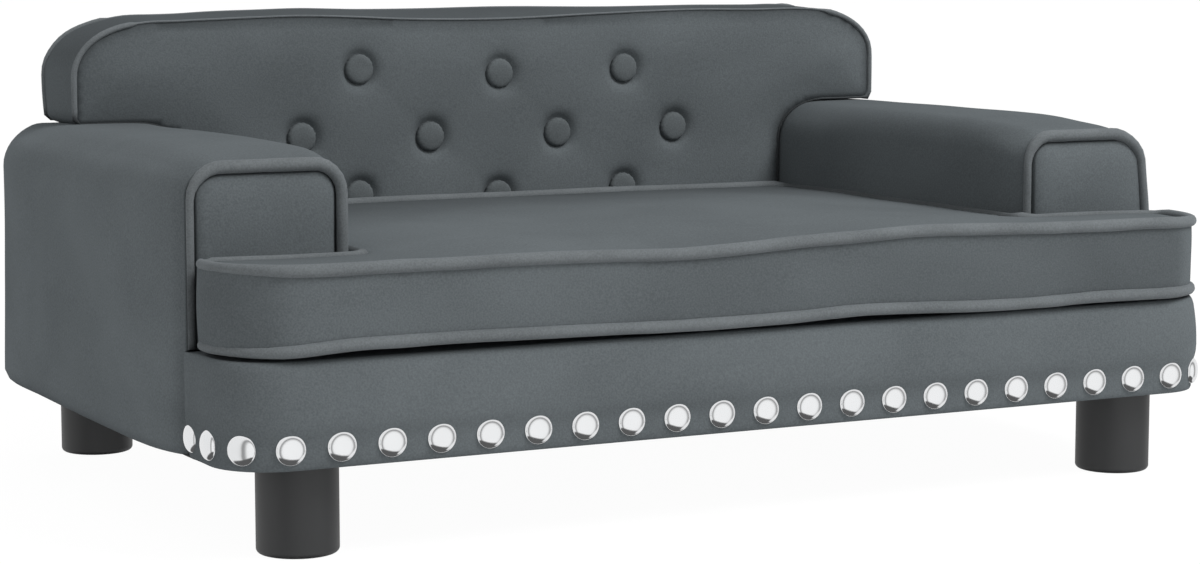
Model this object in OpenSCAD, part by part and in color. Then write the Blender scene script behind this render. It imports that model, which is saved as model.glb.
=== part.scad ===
// Small upholstered dog sofa: a plywood frame in padded velvet covers on four round feet,
// a row of domed nails round the front rail, a button-tufted back and a loose T-shaped cushion.
// X runs across the sofa, -Y is the front, Z is up. The origin is on the floor under the middle.

/* [Whole sofa] */
// Width over the arms at their fullest
sofa_w = 700; // [640:1:900]
// Depth from the cushion's front welt to the fullest part of the back
sofa_d = 450; // [430:1:600]

/* [Feet] */
// Diameter of a foot
foot_d = 47.4; // [36:0.2:56]
// Height of a foot
foot_h = 53.4; // [30:0.2:80]
// Radius of the rounded rim round the sole
foot_rim_r = 3; // [1:0.5:6]
// From the arm's outer side to the axis of a foot
foot_side_inset = 65; // [58:1:80]
// From the front of the sofa to the axis of a front foot
foot_front_inset = 43; // [40:1:52]
// From the rear of the sofa to the axis of a rear foot
foot_rear_inset = 36; // [34:1:50]

/* [Front rail] */
// Height of the padded front rail
rail_h = 60.6; // [55:0.2:70]
// How far the rail stands behind the cushion's front welt
rail_setback = 4; // [3.5:0.5:8]
// How far the rail's end lies inside the arm's outer side
rail_side_step = 12; // [5:0.5:14]
// Radius of the rail's rounded ends, seen from above
rail_corner_r = 38; // [30:0.5:50]
// How far the padding swells in front of the tight lower band
rail_swell = 3; // [0.5:0.25:3.5]
// Thickness of the rail's padding and velvet
rail_pad_t = 12; // [8:0.5:14]

/* [Arms] */
// Width of the arm's front panel over its welt
arm_w = 101; // [92:0.5:112]
// From the front of the sofa to the arm's front panel
arm_setback = 76; // [70:0.5:90]
// Height of the welt on top of the arm's front panel
arm_h = 220.5; // [205:0.5:230]
// Radius of the welt's bend at the panel's top corners
arm_corner_r = 17; // [12:0.5:32]
// How far the arm's outer side swells past the front welt
arm_side_swell = 14; // [10:0.5:18]
// How far the arm swells over the seat past the front welt
arm_seat_swell = 3.5; // [2:0.25:5]
// How far the top of the arm rises above the front welt
arm_crown = 4.5; // [2:0.25:12]
// How far the front panel is puffed out
arm_puff = 3; // [1:0.25:3.5]
// Diameter of the arm's front welt
arm_welt_d = 8; // [6:0.25:8.5]
// From the rear of the sofa to the arm's rear end
arm_rear_inset = 11; // [9:0.5:16]
// Thickness of the padding on the arm's outer side
arm_pad_t = 12; // [10:0.5:16]

/* [Back] */
// How far the top of the back rises above the arms at their highest
back_rise = 71; // [60:0.5:100]
// From the arm's outer side to the end of the back's wing
back_side_inset = 40; // [30:1:60]
// Thickness of the back from its front seam to its rear seam
back_t = 63; // [58:0.5:75]
// Diameter of the piping on the back's two seams
back_piping_d = 5; // [3:0.25:6]
// How far the front of the back is padded out past its seam
back_swell = 4; // [2:0.25:4.5]
// How far the rear of the back is padded out past its seam
back_rear_swell = 11; // [8:0.5:14]
// Width of the rounded top corner
back_corner_w = 62; // [40:1:80]
// Height of the rounded top corner
back_corner_h = 38; // [25:1:42]
// Radius of the wing's lower corner
wing_corner_r = 6; // [5:0.5:18]
// Gap between the wing and the arm below it
wing_gap = 1.5; // [1:0.25:5]
// How much lower the front seam runs than the rear one
back_lean = 1; // [0.5:0.5:6]

/* [Tufting] */
// Distance between two buttons of the row of four
tuft_pitch = 96; // [84:1:110]
// Distance between two rows of buttons
tuft_row_pitch = 42.5; // [38:0.5:44]
// From the top of the sofa down to the top row of buttons
tuft_top_drop = 42.5; // [40:0.5:50]
// How far the pattern of buttons lies to the left of the middle
tuft_offset = 6; // [0:0.5:8]
// Depth of the dimple round a button
tuft_depth = 8; // [4:0.5:9]
// Diameter of a covered button
button_d = 22; // [16:0.5:26]
// Height of a covered button
button_h = 6.5; // [4:0.25:7.5]

/* [Cushion] */
// From the arm's outer side to the cushion's welt
cushion_side_inset = 10; // [3:0.5:14]
// Height of the cushion from its underside to the top welt's centre
cushion_h = 50; // [42:0.5:52]
// Diameter of the cushion's welts
cushion_welt_d = 7.5; // [5:0.25:8]
// Radius of the front corners, along the welt
cushion_corner_r = 46; // [28:0.5:52]
// How far the top of the cushion is crowned
cushion_crown = 5; // [2:0.25:8]
// How far the middle of the boxing bellies out
cushion_belly = 1.5; // [0.5:0.25:3]
// Length of the zip in the rear boxing
zip_l = 300; // [200:1:360]

/* [Nails] */
// Distance between two nails along the rail
nail_pitch = 30.2; // [24:0.1:36]
// Diameter of a nail's head
nail_head_d = 17; // [12:0.25:19]
// Height of a nail's head
nail_head_h = 4; // [3:0.25:4]
// Height of the nails above the bottom edge of the rail
nail_rise = 12; // [11:0.25:16]

/* [Frame] */
// Thickness of the plywood
ply_t = 12; // [9:0.5:13]
// Width of the battens under the seat board
batten_w = 15; // [12:0.5:20]
// Thickness of the cloth over the seat board
deck_cloth_t = 2.5; // [1:0.25:4]
// Thickness of the dust cover
dust_t = 0.8; // [0.5:0.1:1.2]
// Diameter of a foot's bolt
bolt_d = 8; // [6:0.5:8.5]

/* [Hidden] */

// Smoothness of the exact round forms
$fn = 48;
// Clearance between pieces that are pushed or laid together
fit_gap = 0.3;
// Clearance of a bolt in its bore
bolt_gap = 0.1;
// Overrun of every cut past the surface that it opens
cut = 1;
// Smallest step between two rows of an outline that runs straight across
row_skew = 0.4;
// A seam's chamfer holds its welt at this many welt radii
chamfer_share = 1.4143;

// Heights of the main levels
base_z = foot_h;
board_z = base_z + dust_t;
rail_top_z = base_z + rail_h;
deck_z = rail_top_z - deck_cloth_t;
deck_under_z = deck_z - ply_t;

// Lines of the front rail
front_y = -sofa_d / 2;
rear_y = sofa_d / 2;
rail_x = sofa_w / 2 - rail_side_step;
rail_y = front_y + rail_setback;
arm_y = front_y + arm_setback;
rail_rear_y = arm_y - fit_gap;

// Lines of the arm's front welt, along its centre
arm_welt_r = arm_welt_d / 2;
arm_out_x = sofa_w / 2 - arm_side_swell - arm_welt_r;
arm_in_x = arm_out_x - arm_w + arm_welt_d;
arm_top_z = arm_h - arm_welt_r;
arm_rear_y = rear_y - arm_rear_inset;
arm_seat_x = arm_in_x - arm_welt_r - arm_seat_swell;
arm_crest_z = arm_h + arm_crown;
arm_rear_drop = 2;
sofa_h = arm_crest_z + back_rise;

// Boards inside the arm
arm_seat_pad_t = 8;
arm_top_pad_t = 28;
arm_front_pad_t = 8;
arm_rear_pad_t = 12;
arm_board_in_x = arm_seat_x + arm_seat_pad_t;
arm_board_out_x = sofa_w / 2 - arm_pad_t;
arm_board_top_z = arm_crest_z - arm_top_pad_t;
arm_board_y = arm_y + arm_front_pad_t;
arm_board_rear_y = arm_rear_y - arm_rear_pad_t;
arm_front_board_inset = 6;

// Lines of the back
back_piping_r = back_piping_d / 2;
back_side_gap = 1;
back_rear_y = rear_y - back_rear_swell;
back_front_y = back_rear_y - back_t;
back_stem_x = arm_seat_x - back_side_gap - back_piping_r;
back_wing_x = sofa_w / 2 - back_side_inset - back_piping_r;
back_wing_z = arm_crest_z - arm_rear_drop + wing_gap + back_piping_r;
back_top_z = sofa_h - back_piping_r;
back_foam_t = 25;
back_board_y = back_front_y + back_foam_t;
back_board_rear_y = back_board_y + ply_t;
back_board_inset = 11;
back_post_w = 26;

// Lines of the cushion, along the centre of its welts
cushion_welt_r = cushion_welt_d / 2;
cushion_side_gap = 0.6;
cushion_z = rail_top_z + fit_gap;
cushion_top_z = cushion_z + cushion_h;
cushion_low_z = cushion_z + cushion_welt_r;
cushion_x = sofa_w / 2 - cushion_side_inset - cushion_welt_r;
cushion_y = front_y + cushion_welt_r;
cushion_seat_x = arm_seat_x - cushion_side_gap - cushion_welt_r;
cushion_ear_y = arm_y - arm_welt_r - cushion_side_gap - cushion_welt_r;
cushion_rear_y = back_front_y - back_swell - cushion_side_gap - cushion_welt_r;
cushion_ear_r = 10;
cushion_neck_r = 6;
cushion_rear_r = 16;
cushion_wall_t = 7;
zip_h = 8;
zip_slider_l = 12;
zip_slider_t = 2;

// A share between two values
function mix(a, b, share) = a + (b - a) * share;
// A value kept between nought and one
function unit_clamp(v) = min(max(v, 0), 1);
// Radius of a ball whose cap has this diameter and height
function cap_radius(d, h) = (d * d / 4 + h * h) / (2 * h);
// How full a padded face is, from 0 at its edges to 1 in its middle
function fullness(share) = 1 - pow(abs(2 * share - 1), 3);

// Shared solids

// A skin over rings of points, closed by a fan at each end. Seen from the start, each ring
// runs counter-clockwise.
module lofted(rings, start, end) {
    count = len(rings[0]);
    last = len(rings) - 1;
    points = concat([for (ring = rings) each ring], [start, end]);
    start_id = len(points) - 2;
    end_id = len(points) - 1;
    sides = [
        for (i = [0:last - 1], k = [0:count - 1])
            let (a = i * count + k, b = i * count + (k + 1) % count)
                each [[a, b, b + count], [a, b + count, a + count]]
    ];
    caps = [
        for (k = [0:count - 1])
            let (n = (k + 1) % count)
                each [[start_id, n, k], [end_id, last * count + k, last * count + n]]
    ];
    polyhedron(points = points, faces = concat(sides, caps), convexity = 8);
}

// A padded block over an outline that mirrors in X. rows_at(loop) lists its [half width, y] rows,
// x_at(j, w) places column j of a row, and top_at(x, y, w) is the crowned top. loops are
// [inset, z, lean] down the sides, and under are [share, z] rings that close in on the centre.
module padded_block(rows_at, columns, x_at, top_at, loops, under, centre) {
    top_rows = rows_at(loops[0]);
    rows = len(top_rows);
    rim = 2 * (rows - 1) + 2 * (columns - 1);
    grid = [
        for (i = [0:rows - 1], j = [0:columns - 1])
            let (w = top_rows[i][0], x = x_at(j, w), y = top_rows[i][1]) [x, y, top_at(x, y, w)]
    ];
    side_loops = [
        for (k = [1:len(loops) - 1]) rim_points(rows_at(loops[k]), columns, x_at, loops[k][1])
    ];
    last_loop = side_loops[len(side_loops) - 1];
    under_loops = [
        for (ring = under)
            [for (p = last_loop) [mix(centre[0], p[0], ring[0]), mix(centre[1], p[1], ring[0]), ring[1]]]
    ];
    all_loops = concat(side_loops, under_loops);
    points = concat(grid, [for (loop = all_loops) each loop], [centre]);
    rim_ids = concat(
        [for (j = [0:columns - 1]) j],
        [for (i = [1:rows - 1]) i * columns + columns - 1],
        [for (j = [columns - 2:-1:0]) (rows - 1) * columns + j],
        [for (i = [rows - 2:-1:1]) i * columns]
    );
    top_faces = [
        for (i = [0:rows - 2], j = [0:columns - 2])
            let (a = i * columns + j)
                each [[a, a + columns, a + columns + 1], [a, a + columns + 1, a + 1]]
    ];
    first = len(grid);
    loop_ids = concat(
        [rim_ids],
        [for (m = [0:len(all_loops) - 1]) [for (k = [0:rim - 1]) first + m * rim + k]]
    );
    side_faces = [
        for (m = [0:len(loop_ids) - 2], k = [0:rim - 1])
            let (n = (k + 1) % rim, a = loop_ids[m], b = loop_ids[m + 1])
                each [[a[k], a[n], b[n]], [a[k], b[n], b[k]]]
    ];
    low = loop_ids[len(loop_ids) - 1];
    low_faces = [for (k = [0:rim - 1]) [len(points) - 1, low[k], low[(k + 1) % rim]]];
    polyhedron(points = points, faces = concat(top_faces, side_faces, low_faces), convexity = 8);
}

// The points round such an outline, counter-clockwise from the front left, at one height
function rim_points(rows, columns, x_at, z) =
    let (first = rows[0], last = rows[len(rows) - 1])
        concat(
            [for (j = [0:columns - 1]) [x_at(j, first[0]), first[1], z]],
            [for (i = [1:len(rows) - 1]) [rows[i][0], rows[i][1], z]],
            [for (j = [columns - 2:-1:0]) [x_at(j, last[0]), last[1], z]],
            [for (i = [len(rows) - 2:-1:1]) [-rows[i][0], rows[i][1], z]]
        );

// A round cord that runs through moves of [length, 0] or [bend radius, angle], starting along +X
module cord_run(r, moves, i = 0) {
    if (i < len(moves)) {
        move = moves[i];
        side = sign(move[1]);
        if (side == 0) {
            rotate([0, 90, 0]) cylinder(h = move[0], r = r);
            translate([move[0], 0, 0]) cord_run(r, moves, i + 1);
        } else {
            bend = move[0];
            translate([0, side * bend, 0])
                rotate([0, 0, -90 * side + min(move[1], 0)])
                    rotate_extrude(angle = abs(move[1])) translate([bend, 0]) circle(r);
            translate([0, side * bend, 0])
                rotate([0, 0, move[1]])
                    translate([0, -side * bend, 0]) cord_run(r, moves, i + 1);
        }
    }
}

// A box between two corners
module block(low, high) {
    translate(low) cube(high - low);
}

// What stands on the right, and its mirrored twin on the left
module left_twin() {
    mirror([1, 0, 0]) children();
}

// Arms

// The arm's side changes from its low to its upper outline between these two drops below the rail's top
arm_tuck_low = 6;
arm_tuck_high = 0.5;
// Heights of the points up an arm's side, with the share of the swell at each
arm_side_levels = [
    [base_z, 0.85],
    [rail_top_z - arm_tuck_low, 1],
    [rail_top_z - arm_tuck_high, 1],
    [mix(rail_top_z, arm_top_z - arm_corner_r, 0.55), 1]
];
arm_low_count = 2;
// Along the arm: share of its length, then shares of the outer, seat and top swell
arm_station_shares = [
    [0.03, 0.80, 0.80, 0.50],
    [0.07, 0.93, 1.00, 0.70],
    [0.13, 0.98, 1.00, 0.85],
    [0.20, 1.00, 1.00, 0.97],
    [0.32, 1.00, 1.00, 1.00],
    [0.50, 1.00, 1.00, 0.94],
    [0.68, 1.00, 1.00, 0.89],
    [0.88, 0.95, 1.00, 0.83],
    [0.93, 0.78, 1.00, 0.82],
    [0.97, 0.52, 1.00, 0.81],
    [1.00, 0.12, 1.00, 0.78]
];
arm_low_share = 0.4;
arm_corner_steps = 5;
arm_top_shares = [0.25, 0.5, 0.75];
arm_puff_shares = [0.45, 0.8];
arm_seam = chamfer_share * (arm_welt_r + fit_gap);
arm_outer_swell = sofa_w / 2 - arm_out_x;
arm_inner_swell = arm_in_x - arm_seat_x;
arm_top_swell = arm_crest_z - arm_top_z;

// One ring round the arm: y of its upper and lower part, then how far it stands outside the
// welt line on the outer side, over the seat, on top and at the outer side's lower part
function arm_ring(y, low_y, outer, inner, top, low) =
    let (
        r = arm_corner_r,
        levels = len(arm_side_levels),
        high_z = arm_top_z - r
    )
        concat(
            [
                for (k = [0:levels - 1])
                    let (is_low = k < arm_low_count, p = arm_side_levels[k])
                        [arm_out_x + (is_low ? low : outer) * p[1], is_low ? low_y : y, p[0]]
            ],
            [
                for (k = [0:arm_corner_steps])
                    let (a = 90 * k / arm_corner_steps)
                        [arm_out_x - r + (r + outer) * cos(a), y, high_z + (r + top) * sin(a)]
            ],
            [for (t = arm_top_shares) [mix(arm_out_x - r, arm_in_x + r, t), y, arm_top_z + top]],
            [
                for (k = [0:arm_corner_steps])
                    let (a = 90 * k / arm_corner_steps)
                        [arm_in_x + r - (r + inner) * sin(a), y, high_z + (r + top) * cos(a)]
            ],
            [
                for (k = [levels - 1:-1:0])
                    let (p = arm_side_levels[k]) [arm_in_x - inner * p[1], y, p[0]]
            ]
        );

module arm_form() {
    run = arm_rear_y - arm_y - arm_seam;
    edge = arm_ring(arm_y, arm_y, -arm_seam, -arm_seam, -arm_seam, arm_low_share * arm_outer_swell);
    middle = [(arm_out_x + arm_in_x) / 2, arm_y - arm_puff, mix(rail_top_z, arm_top_z, 0.5)];
    puffed = [
        for (t = arm_puff_shares)
            [
                for (p = edge)
                    let (puff = arm_puff * (1 - t * t) * unit_clamp((p[2] - rail_top_z) / arm_corner_r))
                        [mix(middle[0], p[0], t), arm_y - puff, mix(middle[2], p[2], t)]
            ]
    ];
    body = [
        for (s = arm_station_shares)
            let (y = arm_y + arm_seam + run * s[0])
                arm_ring(
                    y, y, arm_outer_swell * s[1], arm_inner_swell * s[2], arm_top_swell * s[3],
                    arm_outer_swell * s[1]
                )
    ];
    seam_low = mix(arm_low_share, arm_station_shares[0][1], 0.4) * arm_outer_swell;
    seam = arm_ring(arm_y + arm_seam, arm_y + arm_seam, 0, 0, 0, seam_low);
    lofted(
        concat(puffed, [edge, seam], body),
        middle,
        [middle[0], arm_rear_y, mix(base_z, arm_top_z, 0.5)]
    );
}

// The room inside the cover for the arm's boards, open below and to the seat under the deck
module arm_cavity() {
    translate([0, 0, base_z - cut])
        linear_extrude(arm_board_top_z + fit_gap - base_z + cut)
            polygon([
                [arm_board_in_x - fit_gap, arm_board_rear_y + fit_gap],
                [arm_board_in_x - fit_gap, arm_board_y + ply_t - fit_gap],
                [arm_board_in_x + arm_front_board_inset - fit_gap, arm_board_y + ply_t - fit_gap],
                [arm_board_in_x + arm_front_board_inset - fit_gap, arm_board_y - fit_gap],
                [arm_board_out_x - ply_t + fit_gap, arm_board_y - fit_gap],
                [arm_board_out_x - ply_t + fit_gap, arm_board_y + ply_t - fit_gap],
                [arm_board_out_x + fit_gap, arm_board_y + ply_t - fit_gap],
                [arm_board_out_x + fit_gap, arm_board_rear_y + fit_gap]
            ]);
    block(
        [arm_seat_x - cut, arm_y - cut, base_z - cut],
        [rail_x - rail_pad_t + fit_gap, arm_board_y, deck_z]
    );
    block(
        [arm_seat_x - cut, arm_y, base_z - cut],
        [arm_board_out_x - ply_t, arm_board_rear_y + fit_gap, deck_z]
    );
}

module arm_cover() {
    color([0.27, 0.29, 0.30]) difference() {
        arm_form();
        arm_cavity();
    }
}

module arm_welt() {
    leg = arm_top_z - arm_corner_r - rail_top_z - fit_gap;
    top = arm_out_x - arm_in_x - 2 * arm_corner_r;
    color([0.33, 0.35, 0.36])
        translate([arm_out_x, arm_y, rail_top_z + fit_gap])
            rotate([90, 0, 0]) rotate([0, 0, 90])
                cord_run(arm_welt_r, [[leg, 0], [arm_corner_r, 90], [top, 0], [arm_corner_r, 90], [leg, 0]]);
}

module arm_outer_board() {
    color("burlywood") block(
        [arm_board_out_x - ply_t, arm_board_y + ply_t, board_z],
        [arm_board_out_x, arm_board_rear_y, arm_board_top_z - ply_t]
    );
}

module arm_inner_board() {
    color("burlywood") block(
        [arm_board_in_x, arm_board_y + ply_t, board_z],
        [arm_board_in_x + ply_t, arm_board_rear_y, arm_board_top_z - ply_t]
    );
}

module arm_front_board() {
    color("burlywood") block(
        [arm_board_in_x + arm_front_board_inset, arm_board_y, board_z],
        [arm_board_out_x - ply_t, arm_board_y + ply_t, arm_board_top_z]
    );
}

module arm_rear_board() {
    color("burlywood") block(
        [arm_board_in_x + ply_t, arm_board_rear_y - ply_t, deck_under_z],
        [arm_board_out_x - ply_t, arm_board_rear_y, arm_board_top_z - ply_t]
    );
}

module arm_top_board() {
    color("burlywood") block(
        [arm_board_in_x, arm_board_y + ply_t, arm_board_top_z - ply_t],
        [arm_board_out_x, arm_board_rear_y, arm_board_top_z]
    );
}

// Back

// Centres of the buttons as [x, z]: three, four and three, staggered by half a pitch
tuft_top_z = sofa_h - tuft_top_drop;
tuft_middle_x = -tuft_offset;
// The rows of three are set wider than the row of four, by this share
tuft_wide_share = 1.0625;
tuft_wide_pitch = tuft_wide_share * tuft_pitch;
// Each row's pitch and its outermost place, counted in pitches off the middle
tuft_rows = [[tuft_wide_pitch, 1], [tuft_pitch, 1.5], [tuft_wide_pitch, 1]];
tuft_centres = [
    for (row = [0:2], k = [-tuft_rows[row][1]:tuft_rows[row][1]])
        [tuft_middle_x + k * tuft_rows[row][0], tuft_top_z - row * tuft_row_pitch]
];
tuft_column = mix(tuft_pitch, tuft_wide_pitch, 0.5) / 6;
tuft_side_columns = 4;
tuft_mid_columns = 20;
tuft_left_x = tuft_middle_x - tuft_mid_columns / 2 * tuft_column;
tuft_right_x = tuft_middle_x + tuft_mid_columns / 2 * tuft_column;
// The dimple is flat for this far round its button
tuft_lip = 9;
tuft_flat_r = button_d / 2 + tuft_lip;
tuft_rim_r = tuft_flat_r + tuft_column;
back_seam = chamfer_share * (back_piping_r + fit_gap);

// The back's outline is an ellipse over the arm, a round wing corner and an elliptic top corner
back_neck_x = arm_in_x + arm_corner_r;
back_neck_z = arm_top_z - arm_corner_r;
back_stem_shares = [0, 0.42, 0.7, 0.78, 0.858, 0.93];
back_neck_shares = [0, 0.19, 0.37, 0.58, 0.78, 1];
back_wing_shares = [0, 0.5, 1];
back_side_share = 0.5;
back_top_shares = [0, 0.17, 0.34, 0.56, 0.78, 1];

// Rows of the back's outline as [half width, z] at an inset from the seam. The top rises with the
// share of the lean: none at the front seam, all of it at the rear one.
function back_rows(inset, lean) =
    let (d = inset, top_z = back_top_z - back_lean * (1 - lean))
        concat(
            [for (t = back_stem_shares) [back_stem_x - d, mix(base_z, back_neck_z, t)]],
            [
                for (t = back_neck_shares)
                    let (a = 90 * t)
                        [
                            back_neck_x - (back_neck_x - back_stem_x + d) * cos(a),
                            back_neck_z + (back_wing_z - back_neck_z + d) * sin(a)
                        ]
            ],
            [
                for (t = back_wing_shares)
                    let (a = 90 * t)
                        [
                            back_wing_x - wing_corner_r + (wing_corner_r - d) * sin(a),
                            back_wing_z + wing_corner_r - (wing_corner_r - d) * cos(a) + row_skew
                        ]
            ],
            [[back_wing_x - d, mix(back_wing_z + wing_corner_r, top_z - back_corner_h, back_side_share)]],
            [
                for (t = back_top_shares)
                    let (a = 90 * t)
                        [
                            back_wing_x - back_corner_w + (back_corner_w - d) * cos(a),
                            top_z - back_corner_h + (back_corner_h - d) * sin(a)
                        ]
            ]
        );

// x of column j in a row of half width w: even over the buttons, stretched beside them
function back_column(j, w) =
    j < tuft_side_columns ? mix(-w, tuft_left_x, j / tuft_side_columns)
    : j > tuft_side_columns + tuft_mid_columns
        ? mix(tuft_right_x, w, (j - tuft_side_columns - tuft_mid_columns) / tuft_side_columns)
        : tuft_left_x + (j - tuft_side_columns) * tuft_column;

// Depth of the dimples at a place on the front of the back
function tuft_dip(x, z) =
    tuft_depth * max([
        for (p = tuft_centres)
            let (t = unit_clamp((tuft_rim_r - norm([x - p[0], z - p[1]])) / (tuft_rim_r - tuft_flat_r)))
                t * t * (3 - 2 * t)
    ]);

// How far the front of the back stands out past its seam
function back_front_swell(x, z, w) =
    back_swell * (1 - pow(unit_clamp(abs(x) / w), 4))
        * unit_clamp((back_top_z - back_lean - back_seam - z) / back_corner_h * 2)
        * unit_clamp((z - base_z) / back_corner_h)
        - tuft_dip(x, z);

module back_form() {
    boxing = back_rear_y - back_front_y;
    rotate([90, 0, 0]) padded_block(
        function (loop) back_rows(loop[0], loop[2]),
        2 * tuft_side_columns + tuft_mid_columns + 1,
        function (j, w) back_column(j, w),
        function (x, z, w) -back_front_y + back_front_swell(x, z, w),
        [
            [back_seam, -back_front_y, 0],
            [0, -back_front_y - back_seam, 0.06],
            [0, -back_front_y - boxing / 2, 0.6],
            [0, -back_rear_y + back_seam, 0.97],
            [back_seam, -back_rear_y, 1]
        ],
        [[0.86, -mix(back_rear_y, rear_y, 0.55)], [0.5, -mix(back_rear_y, rear_y, 0.92)]],
        [0, mix(back_wing_z, back_top_z, 0.15), -rear_y]
    );
}

// The T-shaped plywood outline at a clearance, as [x, z]
function back_board_outline(gap, low_z) =
    let (
        stem = back_stem_x - back_board_inset + gap,
        wing = back_wing_x - back_board_inset + gap,
        shoulder = back_wing_z + back_board_inset - gap,
        top = back_top_z - back_lean - back_board_inset + gap,
        slope_w = back_corner_w - back_board_inset,
        slope_h = back_corner_h - back_board_inset
    )
        [
            [-stem, low_z], [stem, low_z], [stem, shoulder], [wing, shoulder],
            [wing, top - slope_h], [wing - slope_w / 4, top - slope_h / 3], [wing - slope_w, top],
            [slope_w - wing, top], [slope_w / 4 - wing, top - slope_h / 3], [-wing, top - slope_h],
            [-wing, shoulder], [-stem, shoulder]
        ];

module back_slab(y, thickness, gap, low_z) {
    translate([0, y + thickness, 0]) rotate([90, 0, 0])
        linear_extrude(thickness) polygon(back_board_outline(gap, low_z));
}

tie_d = 1.6;
tie_hole_d = 4;
toggle_d = 10;
toggle_t = 3;

module tuft_holes(d, y, length) {
    for (p = tuft_centres)
        translate([p[0], y, p[1]]) rotate([-90, 0, 0]) cylinder(h = length, d = d);
}

module back_cover() {
    color([0.27, 0.29, 0.30]) difference() {
        back_form();
        back_slab(
            back_board_y - fit_gap, arm_board_rear_y - back_board_y + 2 * fit_gap,
            fit_gap, base_z - cut
        );
        block(
            [-back_stem_x - back_board_inset, back_front_y - back_swell - cut, base_z - cut],
            [back_stem_x + back_board_inset, arm_board_rear_y + fit_gap, deck_z + fit_gap]
        );
        tuft_holes(tie_d + 2 * fit_gap, back_front_y, back_board_y - back_front_y);
    }
}

// The path of a seam round the back, from the foot of one side over the top to the other
function back_seam_path(lean, y) =
    let (rows = back_rows(0, lean), last = len(rows) - 1)
        concat(
            [for (i = [0:last]) [-rows[i][0], y, rows[i][1]]],
            [for (i = [last:-1:0]) [rows[i][0], y, rows[i][1]]]
        );

// Rings of a cord of six sides along a path that lies in a plane across Y
function piping_rings(path, r) = [
    for (i = [0:len(path) - 1])
        let (
            before = path[max(i - 1, 0)],
            after = path[min(i + 1, len(path) - 1)],
            t = (after - before) / norm(after - before),
            across = [-t[2], 0, t[0]]
        )
            [for (a = [0:60:300]) path[i] + r * (cos(a) * across + sin(a) * [0, 1, 0])]
];

// The piping at the front seam ends behind the cushion, and at the rear it runs down to the base
module back_piping(lean, y, low_z) {
    path = [for (p = back_seam_path(lean, y)) if (p[2] >= low_z) p];
    color([0.33, 0.35, 0.36]) lofted(piping_rings(path, back_piping_r), path[0], path[len(path) - 1]);
}

module tuft_buttons() {
    dome_r = cap_radius(button_d, button_h);
    color([0.29, 0.31, 0.32])
        for (p = tuft_centres) {
            swell = back_front_swell(p[0], p[1], back_wing_x);
            translate([p[0], back_front_y - swell - 2 * fit_gap, p[1]]) rotate([90, 0, 0])
                intersection() {
                    translate([0, 0, button_h - dome_r]) sphere(dome_r);
                    cylinder(h = button_h, d = button_d);
                }
        }
}

module tuft_ties() {
    color("dimgray")
        for (p = tuft_centres) {
            y = back_front_y - back_front_swell(p[0], p[1], back_wing_x) - fit_gap;
            end_y = back_board_rear_y + fit_gap;
            translate([p[0], y, p[1]]) rotate([-90, 0, 0]) cylinder(h = end_y - y + toggle_t, d = tie_d);
            translate([p[0], end_y, p[1]]) rotate([-90, 0, 0]) cylinder(h = toggle_t, d = toggle_d);
        }
}

module back_board() {
    color("burlywood") difference() {
        back_slab(back_board_y, ply_t, 0, board_z);
        tuft_holes(tie_hole_d, back_board_y - cut, ply_t + 2 * cut);
    }
}

// The posts stand halfway between the outer ties of two rows
module back_post(side) {
    x = tuft_middle_x + side * mix(tuft_rows[0][1] * tuft_rows[0][0], tuft_rows[1][1] * tuft_rows[1][0], 0.5);
    color("burlywood") block(
        [x - back_post_w / 2, back_board_rear_y, deck_under_z],
        [x + back_post_w / 2, arm_board_rear_y, back_top_z - back_lean - back_board_inset]
    );
}

// Front rail

// Down the rail: share of its height, then share of the swell at that height
rail_ring_shares = [
    [1, -1.6], [0.98, -0.5], [0.93, 0.2], [0.82, 0.85], [0.66, 1],
    [0.5, 0.75], [0.38, 0.25], [0.32, 0], [0.05, 0], [0, -0.4]
];
rail_corner_steps = 6;

// The rail from above at an offset, counter-clockwise from its rear left corner
function rail_outline(offset_by, rear) =
    let (d = offset_by, r = rail_corner_r, x = rail_x - r, y = rail_y + r)
        concat(
            [[-rail_x - d, rear]],
            [
                for (k = [0:rail_corner_steps])
                    let (a = 180 + 90 * k / rail_corner_steps) [-x + (r + d) * cos(a), y + (r + d) * sin(a)]
            ],
            [
                for (k = [0:rail_corner_steps])
                    let (a = 270 + 90 * k / rail_corner_steps) [x + (r + d) * cos(a), y + (r + d) * sin(a)]
            ],
            [[rail_x + d, rear]]
        );

module rail_form() {
    rings = [
        for (s = rail_ring_shares)
            [for (p = rail_outline(rail_swell * s[1], rail_rear_y)) [p[0], p[1], base_z + rail_h * s[0]]]
    ];
    middle_y = (rail_y + rail_rear_y) / 2;
    lofted(rings, [0, middle_y, rail_top_z], [0, middle_y, base_z]);
}

// The room behind the rail's padding, with true round corners
module rail_room(gap, low, high, rear) {
    r = rail_corner_r - rail_pad_t + gap;
    x = rail_x - rail_pad_t + gap;
    y = rail_y + rail_pad_t - gap;
    translate([0, 0, low]) linear_extrude(high - low) union() {
        translate([-x, y + r]) square([2 * x, rear - y - r]);
        translate([-x + r, y]) square([2 * (x - r), r]);
        for (side = [-1, 1]) translate([side * (x - r), y + r]) circle(r);
    }
}

module front_rail_cover() {
    color([0.27, 0.29, 0.30]) difference() {
        rail_form();
        rail_room(fit_gap, base_z - cut, deck_z, arm_y + cut);
    }
}

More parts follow.
